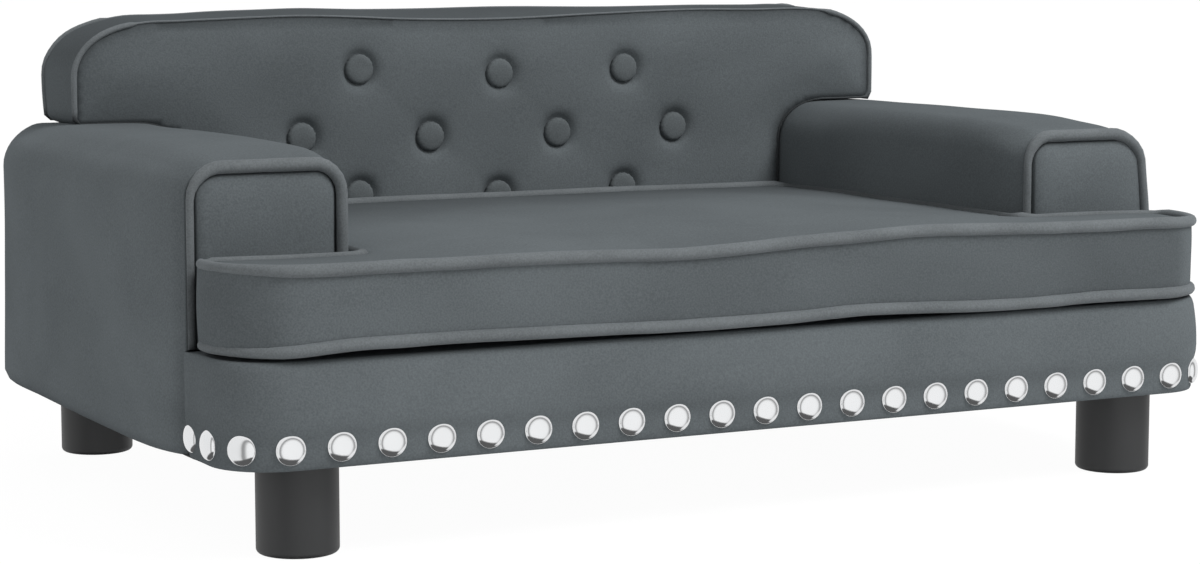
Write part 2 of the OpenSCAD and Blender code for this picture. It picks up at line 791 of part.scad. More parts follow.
// Place and heading of a nail at a distance along the rail from its middle, as [x, y, angle]
function rail_place(s) =
    let (
        side = s < 0 ? -1 : 1,
        t = abs(s),
        straight = rail_x - rail_corner_r,
        arc = rail_corner_r * PI / 2,
        a = unit_clamp((t - straight) / arc) * 90
    )
        [
            side * (min(t, straight) + rail_corner_r * sin(a)),
            rail_y + rail_corner_r * (1 - cos(a)) + max(t - straight - arc, 0),
            side * a
        ];
rail_run = rail_x - rail_corner_r + rail_corner_r * PI / 2 + (rail_rear_y - rail_y - rail_corner_r);
nails_a_side = floor((rail_run - nail_head_d / 4) / nail_pitch);
nail_shank_d = 2.2;
nail_shank_l = 16;

module rail_nails() {
    dome_r = cap_radius(nail_head_d, nail_head_h);
    color("silver")
        for (k = [-nails_a_side:nails_a_side]) {
            place = rail_place(k * nail_pitch);
            translate([place[0], place[1], base_z + nail_rise]) rotate([90, 0, place[2]]) {
                intersection() {
                    translate([0, 0, nail_head_h - dome_r]) sphere(dome_r);
                    cylinder(h = nail_head_h, d = nail_head_d);
                }
                translate([0, 0, -nail_shank_l]) cylinder(h = nail_shank_l, d = nail_shank_d);
            }
        }
}

block_w = 78;
block_rear_d = 48;
tee_barrel_d = 11;
tee_barrel_l = 12;
tee_flange_d = 22;
tee_flange_t = 1.6;
bolt_in_foot = 25;
bolt_top_gap = 4;
foot_x = sofa_w / 2 - foot_side_inset;
front_foot_y = front_y + foot_front_inset;
rear_foot_y = rear_y - foot_rear_inset;

// The bore for a foot's bolt and its tee nut
module tee_bore(y) {
    translate([foot_x, y, 0]) {
        translate([0, 0, board_z - cut])
            cylinder(h = deck_under_z - board_z + 2 * cut, d = bolt_d + 4 * bolt_gap);
        translate([0, 0, deck_under_z - tee_flange_t - tee_barrel_l - fit_gap])
            cylinder(h = tee_barrel_l + tee_flange_t + fit_gap + cut, d = tee_barrel_d + 2 * bolt_gap);
        translate([0, 0, deck_under_z - tee_flange_t - fit_gap])
            cylinder(h = tee_flange_t + fit_gap + cut, d = tee_flange_d + 2 * bolt_gap);
    }
}

module front_block() {
    inner_x = rail_x - rail_pad_t - block_w;
    color("burlywood") difference() {
        intersection() {
            rail_room(0, board_z, deck_under_z, arm_board_y);
            block([inner_x, rail_y, board_z - cut], [rail_x, arm_board_y, deck_z]);
        }
        tee_bore(front_foot_y);
    }
}

module rear_block() {
    color("burlywood") difference() {
        block(
            [arm_board_in_x + ply_t, arm_board_rear_y - block_rear_d, board_z],
            [arm_board_out_x - ply_t, arm_board_rear_y, deck_under_z]
        );
        tee_bore(rear_foot_y);
    }
}

module front_rail_board() {
    half = rail_x - rail_pad_t - block_w;
    y = rail_y + rail_pad_t;
    color("burlywood") block([-half, y, board_z], [half, y + ply_t, deck_under_z]);
}

module rear_rail_board() {
    color("burlywood") block(
        [-arm_board_in_x, back_board_rear_y, board_z],
        [arm_board_in_x, arm_board_rear_y, deck_under_z]
    );
}

// The T-shaped seat board: full width over the rail, then between the arms
module seat_board() {
    color("burlywood") union() {
        rail_room(0, deck_under_z, deck_z, arm_board_y);
        block([-arm_board_in_x, arm_board_y, deck_under_z], [arm_board_in_x, back_board_y, deck_z]);
    }
}

module seat_bearer() {
    y = rail_y + rail_pad_t + ply_t;
    color("burlywood") block([-batten_w / 2, y, board_z], [batten_w / 2, back_board_y, deck_under_z]);
}

module seat_batten() {
    color("burlywood") block(
        [arm_board_in_x - batten_w, arm_board_y + ply_t, deck_under_z - batten_w],
        [arm_board_in_x, back_board_y, deck_under_z]
    );
}

module deck_cloth() {
    color([0.15, 0.15, 0.16]) block(
        [-arm_seat_x + fit_gap, rail_rear_y + fit_gap, deck_z],
        [arm_seat_x - fit_gap, back_front_y - back_swell - fit_gap, rail_top_z]
    );
}

module dust_cover() {
    color([0.08, 0.08, 0.09]) difference() {
        union() {
            rail_room(0, base_z, board_z, arm_board_y);
            for (step = [[arm_board_out_x - ply_t, 0], [arm_board_out_x, ply_t]])
                block([-step[0], arm_board_y + step[1], base_z], [step[0], arm_board_rear_y, board_z]);
        }
        for (side = [-1, 1], y = [front_foot_y, rear_foot_y])
            translate([side * foot_x, y, base_z - cut])
                cylinder(h = dust_t + 2 * cut, d = bolt_d + 4 * bolt_gap);
    }
}

// Feet

module foot(y) {
    r = foot_d / 2;
    color([0.17, 0.17, 0.18]) translate([foot_x, y, 0]) difference() {
        union() {
            translate([0, 0, foot_rim_r]) cylinder(h = foot_h - foot_rim_r, r = r);
            cylinder(h = foot_rim_r, r = r - foot_rim_r);
            rotate_extrude() translate([r - foot_rim_r, foot_rim_r]) circle(foot_rim_r);
        }
        translate([0, 0, foot_h - bolt_in_foot - fit_gap])
            cylinder(h = bolt_in_foot + fit_gap + cut, d = bolt_d + 2 * bolt_gap);
    }
}

module foot_bolts() {
    length = deck_under_z - bolt_top_gap - base_z + bolt_in_foot;
    color("darkgray")
        for (side = [-1, 1], y = [front_foot_y, rear_foot_y])
            translate([side * foot_x, y, base_z - bolt_in_foot]) cylinder(h = length, d = bolt_d);
}

module foot_tee_nuts() {
    color("darkgray")
        for (side = [-1, 1], y = [front_foot_y, rear_foot_y])
            translate([side * foot_x, y, deck_under_z - tee_flange_t - tee_barrel_l]) difference() {
                union() {
                    cylinder(h = tee_barrel_l + tee_flange_t, d = tee_barrel_d);
                    translate([0, 0, tee_barrel_l]) cylinder(h = tee_flange_t, d = tee_flange_d);
                }
                translate([0, 0, -cut])
                    cylinder(h = tee_barrel_l + tee_flange_t + 2 * cut, d = bolt_d + 2 * bolt_gap);
            }
}

// Cushion

cushion_seam = chamfer_share * (cushion_welt_r + fit_gap);
cushion_columns = 17;
cushion_corner_shares = [0, 0.2, 0.4, 0.6, 0.8, 1];
cushion_ear_shares = [0, 0.33, 0.67, 1];
cushion_neck_shares = [0, 0.25, 0.5, 0.75, 1];
cushion_side_shares = [0.15, 0.35, 0.55, 0.75, 0.92];
cushion_rear_shares = [0, 0.33, 0.67, 1];

// Rows of the cushion's T outline as [half width, y] at an inset from the seam
function cushion_rows(inset) =
    let (
        d = inset,
        neck_y = cushion_ear_y + cushion_neck_r,
        last_y = cushion_rear_y - cushion_rear_r
    )
        concat(
            [
                for (t = cushion_corner_shares)
                    let (a = 90 * t)
                        [
                            cushion_x - cushion_corner_r + (cushion_corner_r - d) * sin(a),
                            cushion_y + cushion_corner_r - (cushion_corner_r - d) * cos(a)
                        ]
            ],
            [
                for (t = cushion_ear_shares)
                    let (a = 90 * t)
                        [
                            cushion_x - cushion_ear_r + (cushion_ear_r - d) * cos(a),
                            cushion_ear_y - cushion_ear_r + (cushion_ear_r - d) * sin(a)
                        ]
            ],
            [
                for (t = cushion_neck_shares)
                    let (a = 90 * t)
                        [
                            cushion_seat_x + cushion_neck_r - (cushion_neck_r + d) * sin(a),
                            neck_y - (cushion_neck_r + d) * cos(a) + row_skew * (1 - t)
                        ]
            ],
            [for (t = cushion_side_shares) [cushion_seat_x - d, mix(neck_y, last_y, t)]],
            [
                for (t = cushion_rear_shares)
                    let (a = 90 * t)
                        [
                            cushion_seat_x - cushion_rear_r + (cushion_rear_r - d) * cos(a),
                            last_y + (cushion_rear_r - d) * sin(a)
                        ]
            ]
        );

// The crown fills the seat between the arms, and more flatly the ears in front of them
cushion_ear_crown_share = 0.5;

function cushion_top_at(x, y) =
    let (
        from_front = y - cushion_y - cushion_seam,
        seat_d = cushion_rear_y - cushion_y - 2 * cushion_seam,
        ear_d = cushion_ear_y - cushion_y - 2 * cushion_seam,
        seat = fullness(mix(0.5, 1, unit_clamp(abs(x) / (cushion_seat_x - cushion_seam))))
            * fullness(unit_clamp(from_front / seat_d)),
        ears = fullness(mix(0.5, 1, unit_clamp(abs(x) / (cushion_x - cushion_seam))))
            * fullness(unit_clamp(from_front / ear_d))
    )
        cushion_top_z + cushion_crown * max(seat, ears * cushion_ear_crown_share);

module cushion_form() {
    padded_block(
        function (loop) cushion_rows(loop[0]),
        cushion_columns,
        function (j, w) w * (2 * j / (cushion_columns - 1) - 1),
        function (x, y, w) cushion_top_at(x, y),
        [
            [cushion_seam, cushion_top_z],
            [0, cushion_top_z - cushion_seam],
            [-cushion_belly, mix(cushion_z, cushion_top_z, 0.5)],
            [0, cushion_low_z + cushion_seam],
            [cushion_seam, cushion_low_z],
            [cushion_seam + cushion_welt_r * 2, cushion_z]
        ],
        [],
        [0, mix(cushion_y, cushion_ear_y, 0.5), cushion_z]
    );
}

// A flat shape mirrored in X, with round corners at its front and its rear
module round_flat(half, front, rear, front_r, rear_r) {
    translate([-half, front + front_r]) square([2 * half, rear - front - front_r - rear_r]);
    for (end = [[front, front_r], [rear, -rear_r]]) {
        r = abs(end[1]);
        low = min(end[0], end[0] + end[1]);
        translate([r - half, low]) square([2 * (half - r), r]);
        for (side = [-1, 1]) intersection() {
            translate([side * (half - r), end[0] + end[1]]) circle(r);
            translate([-half, low]) square([2 * half, r]);
        }
    }
}

// The T of the foam, or with a gap the room for it
module cushion_core(gap, low, high) {
    d = cushion_wall_t - gap;
    r = cushion_corner_r - d;
    translate([0, 0, low]) linear_extrude(high - low) union() {
        round_flat(cushion_x - d, cushion_y + d, cushion_ear_y - d, r, cushion_ear_r - d);
        round_flat(cushion_seat_x - d, cushion_y + d, cushion_rear_y - d, r, cushion_rear_r - d);
    }
}

cushion_core_low_z = cushion_z + cushion_wall_t;
cushion_core_top_z = cushion_top_z - cushion_wall_t / 2;
zip_z = (cushion_low_z + cushion_top_z) / 2;

module cushion_cover() {
    color([0.29, 0.31, 0.32]) difference() {
        cushion_form();
        cushion_core(fit_gap, cushion_core_low_z - fit_gap, cushion_core_top_z + fit_gap);
        block(
            [-zip_l / 2 - fit_gap, cushion_rear_y - cushion_wall_t - cut, zip_z - zip_h / 2 - fit_gap],
            [zip_l / 2 + fit_gap, cushion_rear_y + cushion_belly + cut, zip_z + zip_h / 2 + fit_gap]
        );
    }
}

module cushion_foam() {
    color("lightyellow") cushion_core(0, cushion_core_low_z, cushion_core_top_z);
}

module cushion_zip() {
    y = cushion_rear_y + cushion_belly;
    color([0.12, 0.12, 0.13]) union() {
        block(
            [-zip_l / 2, cushion_rear_y - cushion_wall_t / 2, zip_z - zip_h / 2],
            [zip_l / 2, y, zip_z + zip_h / 2]
        );
        block(
            [zip_l / 2 - 2 * zip_slider_l, y - cut, zip_z - zip_h / 4],
            [zip_l / 2 - zip_slider_l, y + zip_slider_t, zip_z + zip_h / 4]
        );
    }
}

module cushion_welt(z) {
    half = [
        [cushion_x - cushion_corner_r, 0],
        [cushion_corner_r, 90],
        [cushion_ear_y - cushion_ear_r - cushion_y - cushion_corner_r, 0],
        [cushion_ear_r, 90],
        [cushion_x - cushion_ear_r - cushion_seat_x - cushion_neck_r, 0],
        [cushion_neck_r, -90],
        [cushion_rear_y - cushion_rear_r - cushion_ear_y - cushion_neck_r, 0],
        [cushion_rear_r, 90],
        [cushion_seat_x - cushion_rear_r, 0]
    ];
    color([0.34, 0.36, 0.37]) translate([0, cushion_y, z])
        for (side = [0, 1]) mirror([side, 0, 0]) cord_run(cushion_welt_r, half);
}

left_twin() arm_cover();  // left_arm_cover
arm_cover();  // right_arm_cover
left_twin() arm_welt();  // left_arm_welt
arm_welt();  // right_arm_welt
back_cover();
back_piping(0, back_front_y, rail_top_z);  // back_front_piping
back_piping(1, back_rear_y, base_z);  // back_rear_piping
tuft_buttons();
tuft_ties();
front_rail_cover();
rail_nails();
deck_cloth();
dust_cover();
cushion_cover();
cushion_foam();
cushion_zip();
cushion_welt(cushion_top_z);  // cushion_top_welt
cushion_welt(cushion_low_z);  // cushion_bottom_welt
left_twin() foot(front_foot_y);  // front_left_foot
foot(front_foot_y);  // front_right_foot
left_twin() foot(rear_foot_y);  // rear_left_foot
foot(rear_foot_y);  // rear_right_foot
foot_bolts();
foot_tee_nuts();
left_twin() front_block();  // front_left_block
front_block();  // front_right_block
left_twin() rear_block();  // rear_left_block
rear_block();  // rear_right_block
front_rail_board();
rear_rail_board();
seat_board();
seat_bearer();
left_twin() seat_batten();  // left_seat_batten
seat_batten();  // right_seat_batten
left_twin() arm_outer_board();  // left_arm_outer_board
arm_outer_board();  // right_arm_outer_board
left_twin() arm_inner_board();  // left_arm_inner_board
arm_inner_board();  // right_arm_inner_board
left_twin() arm_front_board();  // left_arm_front_board
arm_front_board();  // right_arm_front_board
left_twin() arm_rear_board();  // left_arm_rear_board
arm_rear_board();  // right_arm_rear_board
left_twin() arm_top_board();  // left_arm_top_board
arm_top_board();  // right_arm_top_board
back_board();
back_post(-1);  // left_back_post
back_post(1);  // right_back_post
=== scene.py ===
# %% [markdown]
# A small dog sofa in dark grey velvet: box arms, a T-shaped back with covered buttons, a loose
# T-shaped cushion, a padded front rail with a row of domed nails, and four round feet. The packed
# model gives every piece its size and place. They could be typed in here again, but the steps
# below read them from it, so that the looks follow when the model changes. The steps add the soft
# forms, the seams and the finishes.

# %% The frame
import math

import bmesh
import bpy
import numpy as np
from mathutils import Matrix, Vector, geometry


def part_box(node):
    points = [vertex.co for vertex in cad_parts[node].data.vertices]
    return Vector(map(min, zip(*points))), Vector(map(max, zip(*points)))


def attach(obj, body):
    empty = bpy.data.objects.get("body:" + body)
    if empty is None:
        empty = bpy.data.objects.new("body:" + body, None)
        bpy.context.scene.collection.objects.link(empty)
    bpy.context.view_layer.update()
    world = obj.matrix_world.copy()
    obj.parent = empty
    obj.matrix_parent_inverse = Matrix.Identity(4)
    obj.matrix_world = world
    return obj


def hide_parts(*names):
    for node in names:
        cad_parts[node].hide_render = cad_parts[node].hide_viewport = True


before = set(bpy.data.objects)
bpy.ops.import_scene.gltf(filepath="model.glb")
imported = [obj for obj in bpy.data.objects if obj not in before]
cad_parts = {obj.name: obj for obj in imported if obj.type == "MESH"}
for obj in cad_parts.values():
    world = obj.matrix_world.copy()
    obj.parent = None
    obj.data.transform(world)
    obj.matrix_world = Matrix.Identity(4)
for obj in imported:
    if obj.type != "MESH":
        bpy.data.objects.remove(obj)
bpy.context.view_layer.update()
scene = bpy.context.scene
MM = 0.001


def span(node):
    """Lowest and highest corner of a node, in metres."""
    low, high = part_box(node)
    return np.array(low), np.array(high)


# %% [markdown]
# The picture is taken from a little above the arms, with a long lens, so the sofa's lines stay
# almost parallel. A short lens could show the same sides, but the lines would run together towards
# the back. The lens is found from the spacing of the nails, which shrinks evenly along the rail.

# %% The camera
PICTURE_W = 1200
FOCAL_PX = 2873
VIEW_FROM = (-0.867, -1.677, 0.341)
VIEW_TURN = 27.38
VIEW_DROP = 6.71
camera_data = bpy.data.cameras.new("camera")
camera_data.sensor_width = 36.0
camera_data.lens = FOCAL_PX / PICTURE_W * camera_data.sensor_width
camera_data.clip_end = 200.0
camera = bpy.data.objects.new("camera", camera_data)
camera.location = VIEW_FROM
camera.rotation_euler = (math.radians(90 - VIEW_DROP), 0.0, math.radians(-VIEW_TURN))
scene.collection.objects.link(camera)
scene.camera = camera
scene.view_settings.view_transform = "Standard"
print("lens:", round(camera_data.lens, 1), "mm")

# %% [markdown]
# Studio light: a bright even room does most of the work, and one soft lamp high up in front on the
# right gives the buttons and seams their modelling. More lamps could do the same, but each of them
# would add a shadow. The sofa stands on white. The room and the floor show pure white to the camera
# only, so that the velvet isn't lit by more light than it needs.

# %% Lamps
LAMPS = {
    "key": dict(at=(1.1, -1.6, 2.3), size=(1.1, 1.1), watts=62.0),
}
AIM = Vector((0.0, 0.0, 0.13))
for lamp_name, lamp in LAMPS.items():
    lamp_data = bpy.data.lights.new(lamp_name, "AREA")
    lamp_data.shape = "RECTANGLE"
    lamp_data.size, lamp_data.size_y = lamp["size"]
    lamp_data.energy = lamp["watts"]
    lamp_object = bpy.data.objects.new(lamp_name, lamp_data)
    lamp_object.location = lamp["at"]
    lamp_object.visible_glossy = False
    lamp_object.rotation_euler = (AIM - lamp_object.location).to_track_quat("-Z", "Y").to_euler()
    scene.collection.objects.link(lamp_object)
print("lamps:", ", ".join(LAMPS))


# %% [markdown]
# A finish in Blender is a small graph of nodes. They can be placed and linked by hand in the shader
# editor, but written out node by node they are long and hard to follow. So one helper adds a node
# with its settings and links in a single line, and another one opens a group.

# %% Small helpers for shader nodes
def add(tree, kind, values=None, **settings):
    """A new shader node with settings, its inputs set to values or linked to sockets."""
    node = tree.nodes.new(kind)
    for key, value in settings.items():
        setattr(node, key, value)
    for key, value in (values or {}).items():
        if isinstance(value, bpy.types.NodeSocket):
            tree.links.new(value, node.inputs[key])
        else:
            node.inputs[key].default_value = value
    return node


def group_of(name, inputs, outputs):
    """A shader group with float and colour inputs, and its input and output nodes."""
    tree = bpy.data.node_groups.new(name, "ShaderNodeTree")
    for key, value in inputs.items():
        kind = "NodeSocketColor" if hasattr(value, "__len__") else "NodeSocketFloat"
        socket = tree.interface.new_socket(key, in_out="INPUT", socket_type=kind)
        socket.default_value = value
    for key, kind in outputs.items():
        tree.interface.new_socket(key, in_out="OUTPUT", socket_type=kind)
    return tree, tree.nodes.new("NodeGroupInput"), tree.nodes.new("NodeGroupOutput")


def grey(tone):
    """A colour without a hue."""
    return (tone, tone, tone, 1)


# %% [markdown]
# The domed nails mirror the whole studio, and in an even room they would look flat. Real lamps and
# screens could stand round the sofa, but they would light the velvet too. So the studio is painted
# on the room by direction, and only reflections see it: a big round screen in front on the right, a
# grey gap round it and a bright room beyond. Steeply below everything is dark grey, apart from a
# light patch on the right. The cosines and tones are read from the nails in the picture.

# %% The studio as the nails mirror it
SCREEN_WAY = (0.162, -0.980, -0.117)
# From the room beyond to the screen: cosine from the middle of the screen, and the tone there
SCREEN = [(0.10, 0.90), (0.25, 0.80), (0.36, 0.30), (0.50, 0.40), (0.70, 0.95), (0.85, 1.0)]
# How steeply down a reflection looks where it starts to darken and where it is darkest
STEEP = (0.62, 0.70)
STEEP_TONE = 0.11
# The patch: its direction, the cosines at the outside and the inside of its soft rim, and its tone
PATCH_WAY = (0.773, -0.080, -0.630)
PATCH = (0.945, 0.975)
PATCH_TONE = 0.9
studio, _, result = group_of("mirrored_studio", {}, {"Tone": "NodeSocketColor"})
way = add(studio, "ShaderNodeNewGeometry")
cosine = add(studio, "ShaderNodeVectorMath",
             {0: way.outputs["Incoming"], 1: tuple(-v for v in SCREEN_WAY)}, operation="DOT_PRODUCT")
share = add(studio, "ShaderNodeMath", {0: cosine.outputs["Value"], 1: 0.5, 2: 0.5},
            operation="MULTIPLY_ADD")
ring = add(studio, "ShaderNodeValToRGB", {"Fac": share.outputs[0]})
places = [0.5 + 0.5 * cosine_there for cosine_there, _ in SCREEN]
ring.color_ramp.elements[0].position = places[0]
ring.color_ramp.elements[1].position = places[-1]
for position in places[1:-1]:
    ring.color_ramp.elements.new(position)
for element, (_, tone) in zip(ring.color_ramp.elements, SCREEN):
    element.color = grey(tone)
axes = add(studio, "ShaderNodeSeparateXYZ", {0: way.outputs["Incoming"]})
steep = add(studio, "ShaderNodeMapRange",
            {"Value": axes.outputs[2], "From Min": STEEP[0], "From Max": STEEP[1]})
darkened = add(studio, "ShaderNodeMix",
               {0: steep.outputs[0], 6: ring.outputs["Color"], 7: grey(STEEP_TONE)}, data_type="RGBA")
near = add(studio, "ShaderNodeVectorMath",
           {0: way.outputs["Incoming"], 1: tuple(-v for v in PATCH_WAY)}, operation="DOT_PRODUCT")
patch = add(studio, "ShaderNodeMapRange",
            {"Value": near.outputs["Value"], "From Min": PATCH[0], "From Max": PATCH[1]})
patched = add(studio, "ShaderNodeMix",
              {0: patch.outputs[0], 6: darkened.outputs[2], 7: grey(PATCH_TONE)}, data_type="RGBA")
studio.links.new(patched.outputs[2], result.inputs["Tone"])
print("tones of the mirrored studio:", [tone for _, tone in SCREEN])

# %% [markdown]
# The sofa stands on white. A backdrop that curves up behind it is the usual way, but its bend shows
# in nails and feet. So the floor is flat and wide. The camera sees it and the room as white, and the
# floor still takes the sofa's shadow.

# %% The white room and floor
WHITE = grey(1)
ROOM_LIGHT = 0.82
world = bpy.data.worlds.new("room")
scene.world = world
world.use_nodes = True
room = world.node_tree
room.nodes.clear()
ray = add(room, "ShaderNodeLightPath")
seen = add(room, "ShaderNodeMath",
           {0: ray.outputs["Is Camera Ray"], 1: ray.outputs["Is Transmission Ray"]},
           operation="MAXIMUM")
even = add(room, "ShaderNodeBackground", {"Color": WHITE, "Strength": ROOM_LIGHT})
seen_in_metal = add(room, "ShaderNodeGroup", node_tree=studio)
far = add(room, "ShaderNodeBackground", {"Color": seen_in_metal.outputs["Tone"], "Strength": 1.0})
white = add(room, "ShaderNodeBackground", {"Color": WHITE, "Strength": 1.0})
glossy = add(room, "ShaderNodeMixShader",
             {0: ray.outputs["Is Glossy Ray"], 1: even.outputs[0], 2: far.outputs[0]})
shown = add(room, "ShaderNodeMixShader",
            {0: seen.outputs[0], 1: glossy.outputs[0], 2: white.outputs[0]})
add(room, "ShaderNodeOutputWorld", {"Surface": shown.outputs[0]})

# %% The floor
FLOOR_HALF = 40.0
# How much of the floor glows when the camera sees it, and how brightly. The rest takes shadows.
FLOOR_GLOW, GLOW = 0.94, 1.03
FLOOR_CHALK = 0.8
floor_finish = bpy.data.materials.new("white_floor")
floor_finish.use_nodes = True
tree = floor_finish.node_tree
tree.nodes.clear()
ray = add(tree, "ShaderNodeLightPath")
chalk = add(tree, "ShaderNodeBsdfDiffuse", {"Color": grey(FLOOR_CHALK)})
glow = add(tree, "ShaderNodeEmission", {"Color": WHITE, "Strength": GLOW})
share = add(tree, "ShaderNodeMath", {0: ray.outputs["Is Camera Ray"], 1: FLOOR_GLOW},
            operation="MULTIPLY")
lit = add(tree, "ShaderNodeMixShader",
          {0: share.outputs[0], 1: chalk.outputs[0], 2: glow.outputs[0]})
# Painted reflection: reflected rays see the floor glow with the painted studio tones.
seen_in_metal = add(tree, "ShaderNodeGroup", node_tree=studio)
bright = add(tree, "ShaderNodeEmission", {"Color": seen_in_metal.outputs["Tone"], "Strength": 1.0})
both = add(tree, "ShaderNodeMixShader",
           {0: ray.outputs["Is Glossy Ray"], 1: lit.outputs[0], 2: bright.outputs[0]})
add(tree, "ShaderNodeOutputMaterial", {"Surface": both.outputs[0]})
floor_mesh = bpy.data.meshes.new("floor")
floor_mesh.from_pydata([(-FLOOR_HALF, -FLOOR_HALF, 0), (FLOOR_HALF, -FLOOR_HALF, 0),
                        (FLOOR_HALF, FLOOR_HALF, 0), (-FLOOR_HALF, FLOOR_HALF, 0)], [], [(0, 1, 2, 3)])
floor_mesh.materials.append(floor_finish)
floor = bpy.data.objects.new("floor", floor_mesh)
scene.collection.objects.link(floor)
print("room and floor:", world.name, floor_finish.name)


# %% [markdown]
# Velvet is a short pile. Seen straight on it looks deep and dark, and where it turns away its
# fibres catch the light, which the shader's sheen gives. Where a hand has brushed the pile it
# leans another way, so soft patches look a little lighter or darker. A picture of velvet could be
# wrapped round each piece, but it would show seams and repeats, which noise in space doesn't. One
# group makes the patches, the pile's grain and its relief, and every velvet piece uses it with its
# own values.

# %% The velvet group
pile, given, result = group_of(
    "velvet_pile",
    {"Color": (0.1, 0.11, 0.12, 1), "Brushed": 0.1, "Patch Size": 9.0, "Grain": 0.12, "Shade": 1.0},
    {"Color": "NodeSocketColor", "Roughness": "NodeSocketFloat", "Height": "NodeSocketFloat"},
)
place = add(pile, "ShaderNodeTexCoord")
stretched = add(pile, "ShaderNodeMapping",
                {"Vector": place.outputs["Object"], "Scale": (1.0, 1.0, 1.7)})
patches = add(pile, "ShaderNodeTexNoise",
              {"Vector": stretched.outputs[0], "Scale": given.outputs["Patch Size"],
               "Detail": 3.0, "Roughness": 0.45, "Distortion": 0.4})
grain = add(pile, "ShaderNodeTexNoise",
            {"Vector": place.outputs["Object"], "Scale": 900.0, "Detail": 2.0})
fibre = add(pile, "ShaderNodeTexNoise",
            {"Vector": place.outputs["Object"], "Scale": 260.0, "Detail": 3.0})
# Noise lies mostly between 0.3 and 0.7, and this spreads it from -1 to 1
SPREAD = {"From Min": 0.3, "From Max": 0.7, "To Min": -1.0, "To Max": 1.0}
brushed = add(pile, "ShaderNodeMapRange", {"Value": patches.outputs["Fac"], **SPREAD})
lift = add(pile, "ShaderNodeMath", {0: brushed.outputs[0], 1: given.outputs["Brushed"]},
           operation="MULTIPLY")
fine = add(pile, "ShaderNodeMapRange", {"Value": grain.outputs["Fac"], **SPREAD})
fleck = add(pile, "ShaderNodeMath", {0: fine.outputs[0], 1: given.outputs["Grain"]},
            operation="MULTIPLY")
both = add(pile, "ShaderNodeMath", {0: lift.outputs[0], 1: fleck.outputs[0]}, operation="ADD")
level = add(pile, "ShaderNodeMath", {0: both.outputs[0], 1: 1.0}, operation="ADD")
shaded = add(pile, "ShaderNodeMath", {0: level.outputs[0], 1: given.outputs["Shade"]},
             operation="MULTIPLY")
tint = add(pile, "ShaderNodeVectorMath", {0: given.outputs["Color"], "Scale": shaded.outputs[0]},
           operation="SCALE")
rough = add(pile, "ShaderNodeMapRange",
            {"Value": patches.outputs["Fac"], "To Min": 0.94, "To Max": 0.8})
relief = add(pile, "ShaderNodeMath", {0: grain.outputs["Fac"], 1: fibre.outputs["Fac"]},
             operation="ADD")
for key, socket in (("Color", tint.outputs[0]), ("Roughness", rough.outputs[0]),
                    ("Height", relief.outputs[0])):
    pile.links.new(socket, result.inputs[key])
print("velvet group:", len(pile.nodes), "nodes")


# %% Velvet finishes
def finish(name):
    """A new node material with only its output, as (material, its node tree, output node)."""
    material = bpy.data.materials.new(name)
    material.use_nodes = True
    material.node_tree.nodes.clear()
    return material, material.node_tree, material.node_tree.nodes.new("ShaderNodeOutputMaterial")


PILE_DEPTH = 0.0004
SHEEN_TINT = (0.86, 0.93, 1.0, 1)


def velvet(name, colour, brushed, patch_size, sheen=0.04):
    """Velvet of one colour, multiplied by the mesh's own 'shade', which holds painted light and painted
    shade. In reflections it glows with the painted studio instead of its own colour, a painted
    reflection, so that the nails' domes stay bright to the rim."""
    material, tree, out = finish(name)
    shade = add(tree, "ShaderNodeAttribute", attribute_name="shade")
    group = add(tree, "ShaderNodeGroup", node_tree=pile)
    for key, value in (("Color", (*colour, 1)), ("Brushed", brushed), ("Patch Size", patch_size)):
        group.inputs[key].default_value = value
    tree.links.new(shade.outputs["Fac"], group.inputs["Shade"])
    bump = add(tree, "ShaderNodeBump",
               {"Height": group.outputs["Height"], "Strength": 0.25, "Distance": PILE_DEPTH})
    cloth = add(tree, "ShaderNodeBsdfPrincipled", {
        "Base Color": group.outputs["Color"], "Roughness": group.outputs["Roughness"],
        "Normal": bump.outputs[0], "Specular IOR Level": 0.0, "Sheen Weight": sheen,
        "Sheen Roughness": 0.45, "Sheen Tint": SHEEN_TINT})
    # Painted reflection: reflected rays see the velvet glow with the painted studio tones.
    ray = add(tree, "ShaderNodeLightPath")
    seen_in_metal = add(tree, "ShaderNodeGroup", node_tree=studio)
    velvet_painted_reflection = add(tree, "ShaderNodeEmission", {"Color": seen_in_metal.outputs["Tone"], "Strength": 1.0})
    both = add(tree, "ShaderNodeMixShader", {0: ray.outputs["Is Glossy Ray"], 1: cloth.outputs[0],
                                             2: velvet_painted_reflection.outputs[0]})
    tree.links.new(both.outputs[0], out.inputs["Surface"])
    return material


VELVET = velvet("grey_velvet", (0.0915, 0.1030, 0.1090), 0.09, 9.0)
# Painted light: the welts and pipings are the same velvet, painted lighter for the light their round
# cords catch.
PAINTED_LIGHT_WELT_VELVET = velvet("welt_velvet", (0.117, 0.128, 0.134), 0.08, 30.0, sheen=0.08)
BUTTON_VELVET = velvet("button_velvet", (0.092, 0.103, 0.108), 0.10, 40.0)
print("velvets:", VELVET.name, PAINTED_LIGHT_WELT_VELVET.name, BUTTON_VELVET.name)
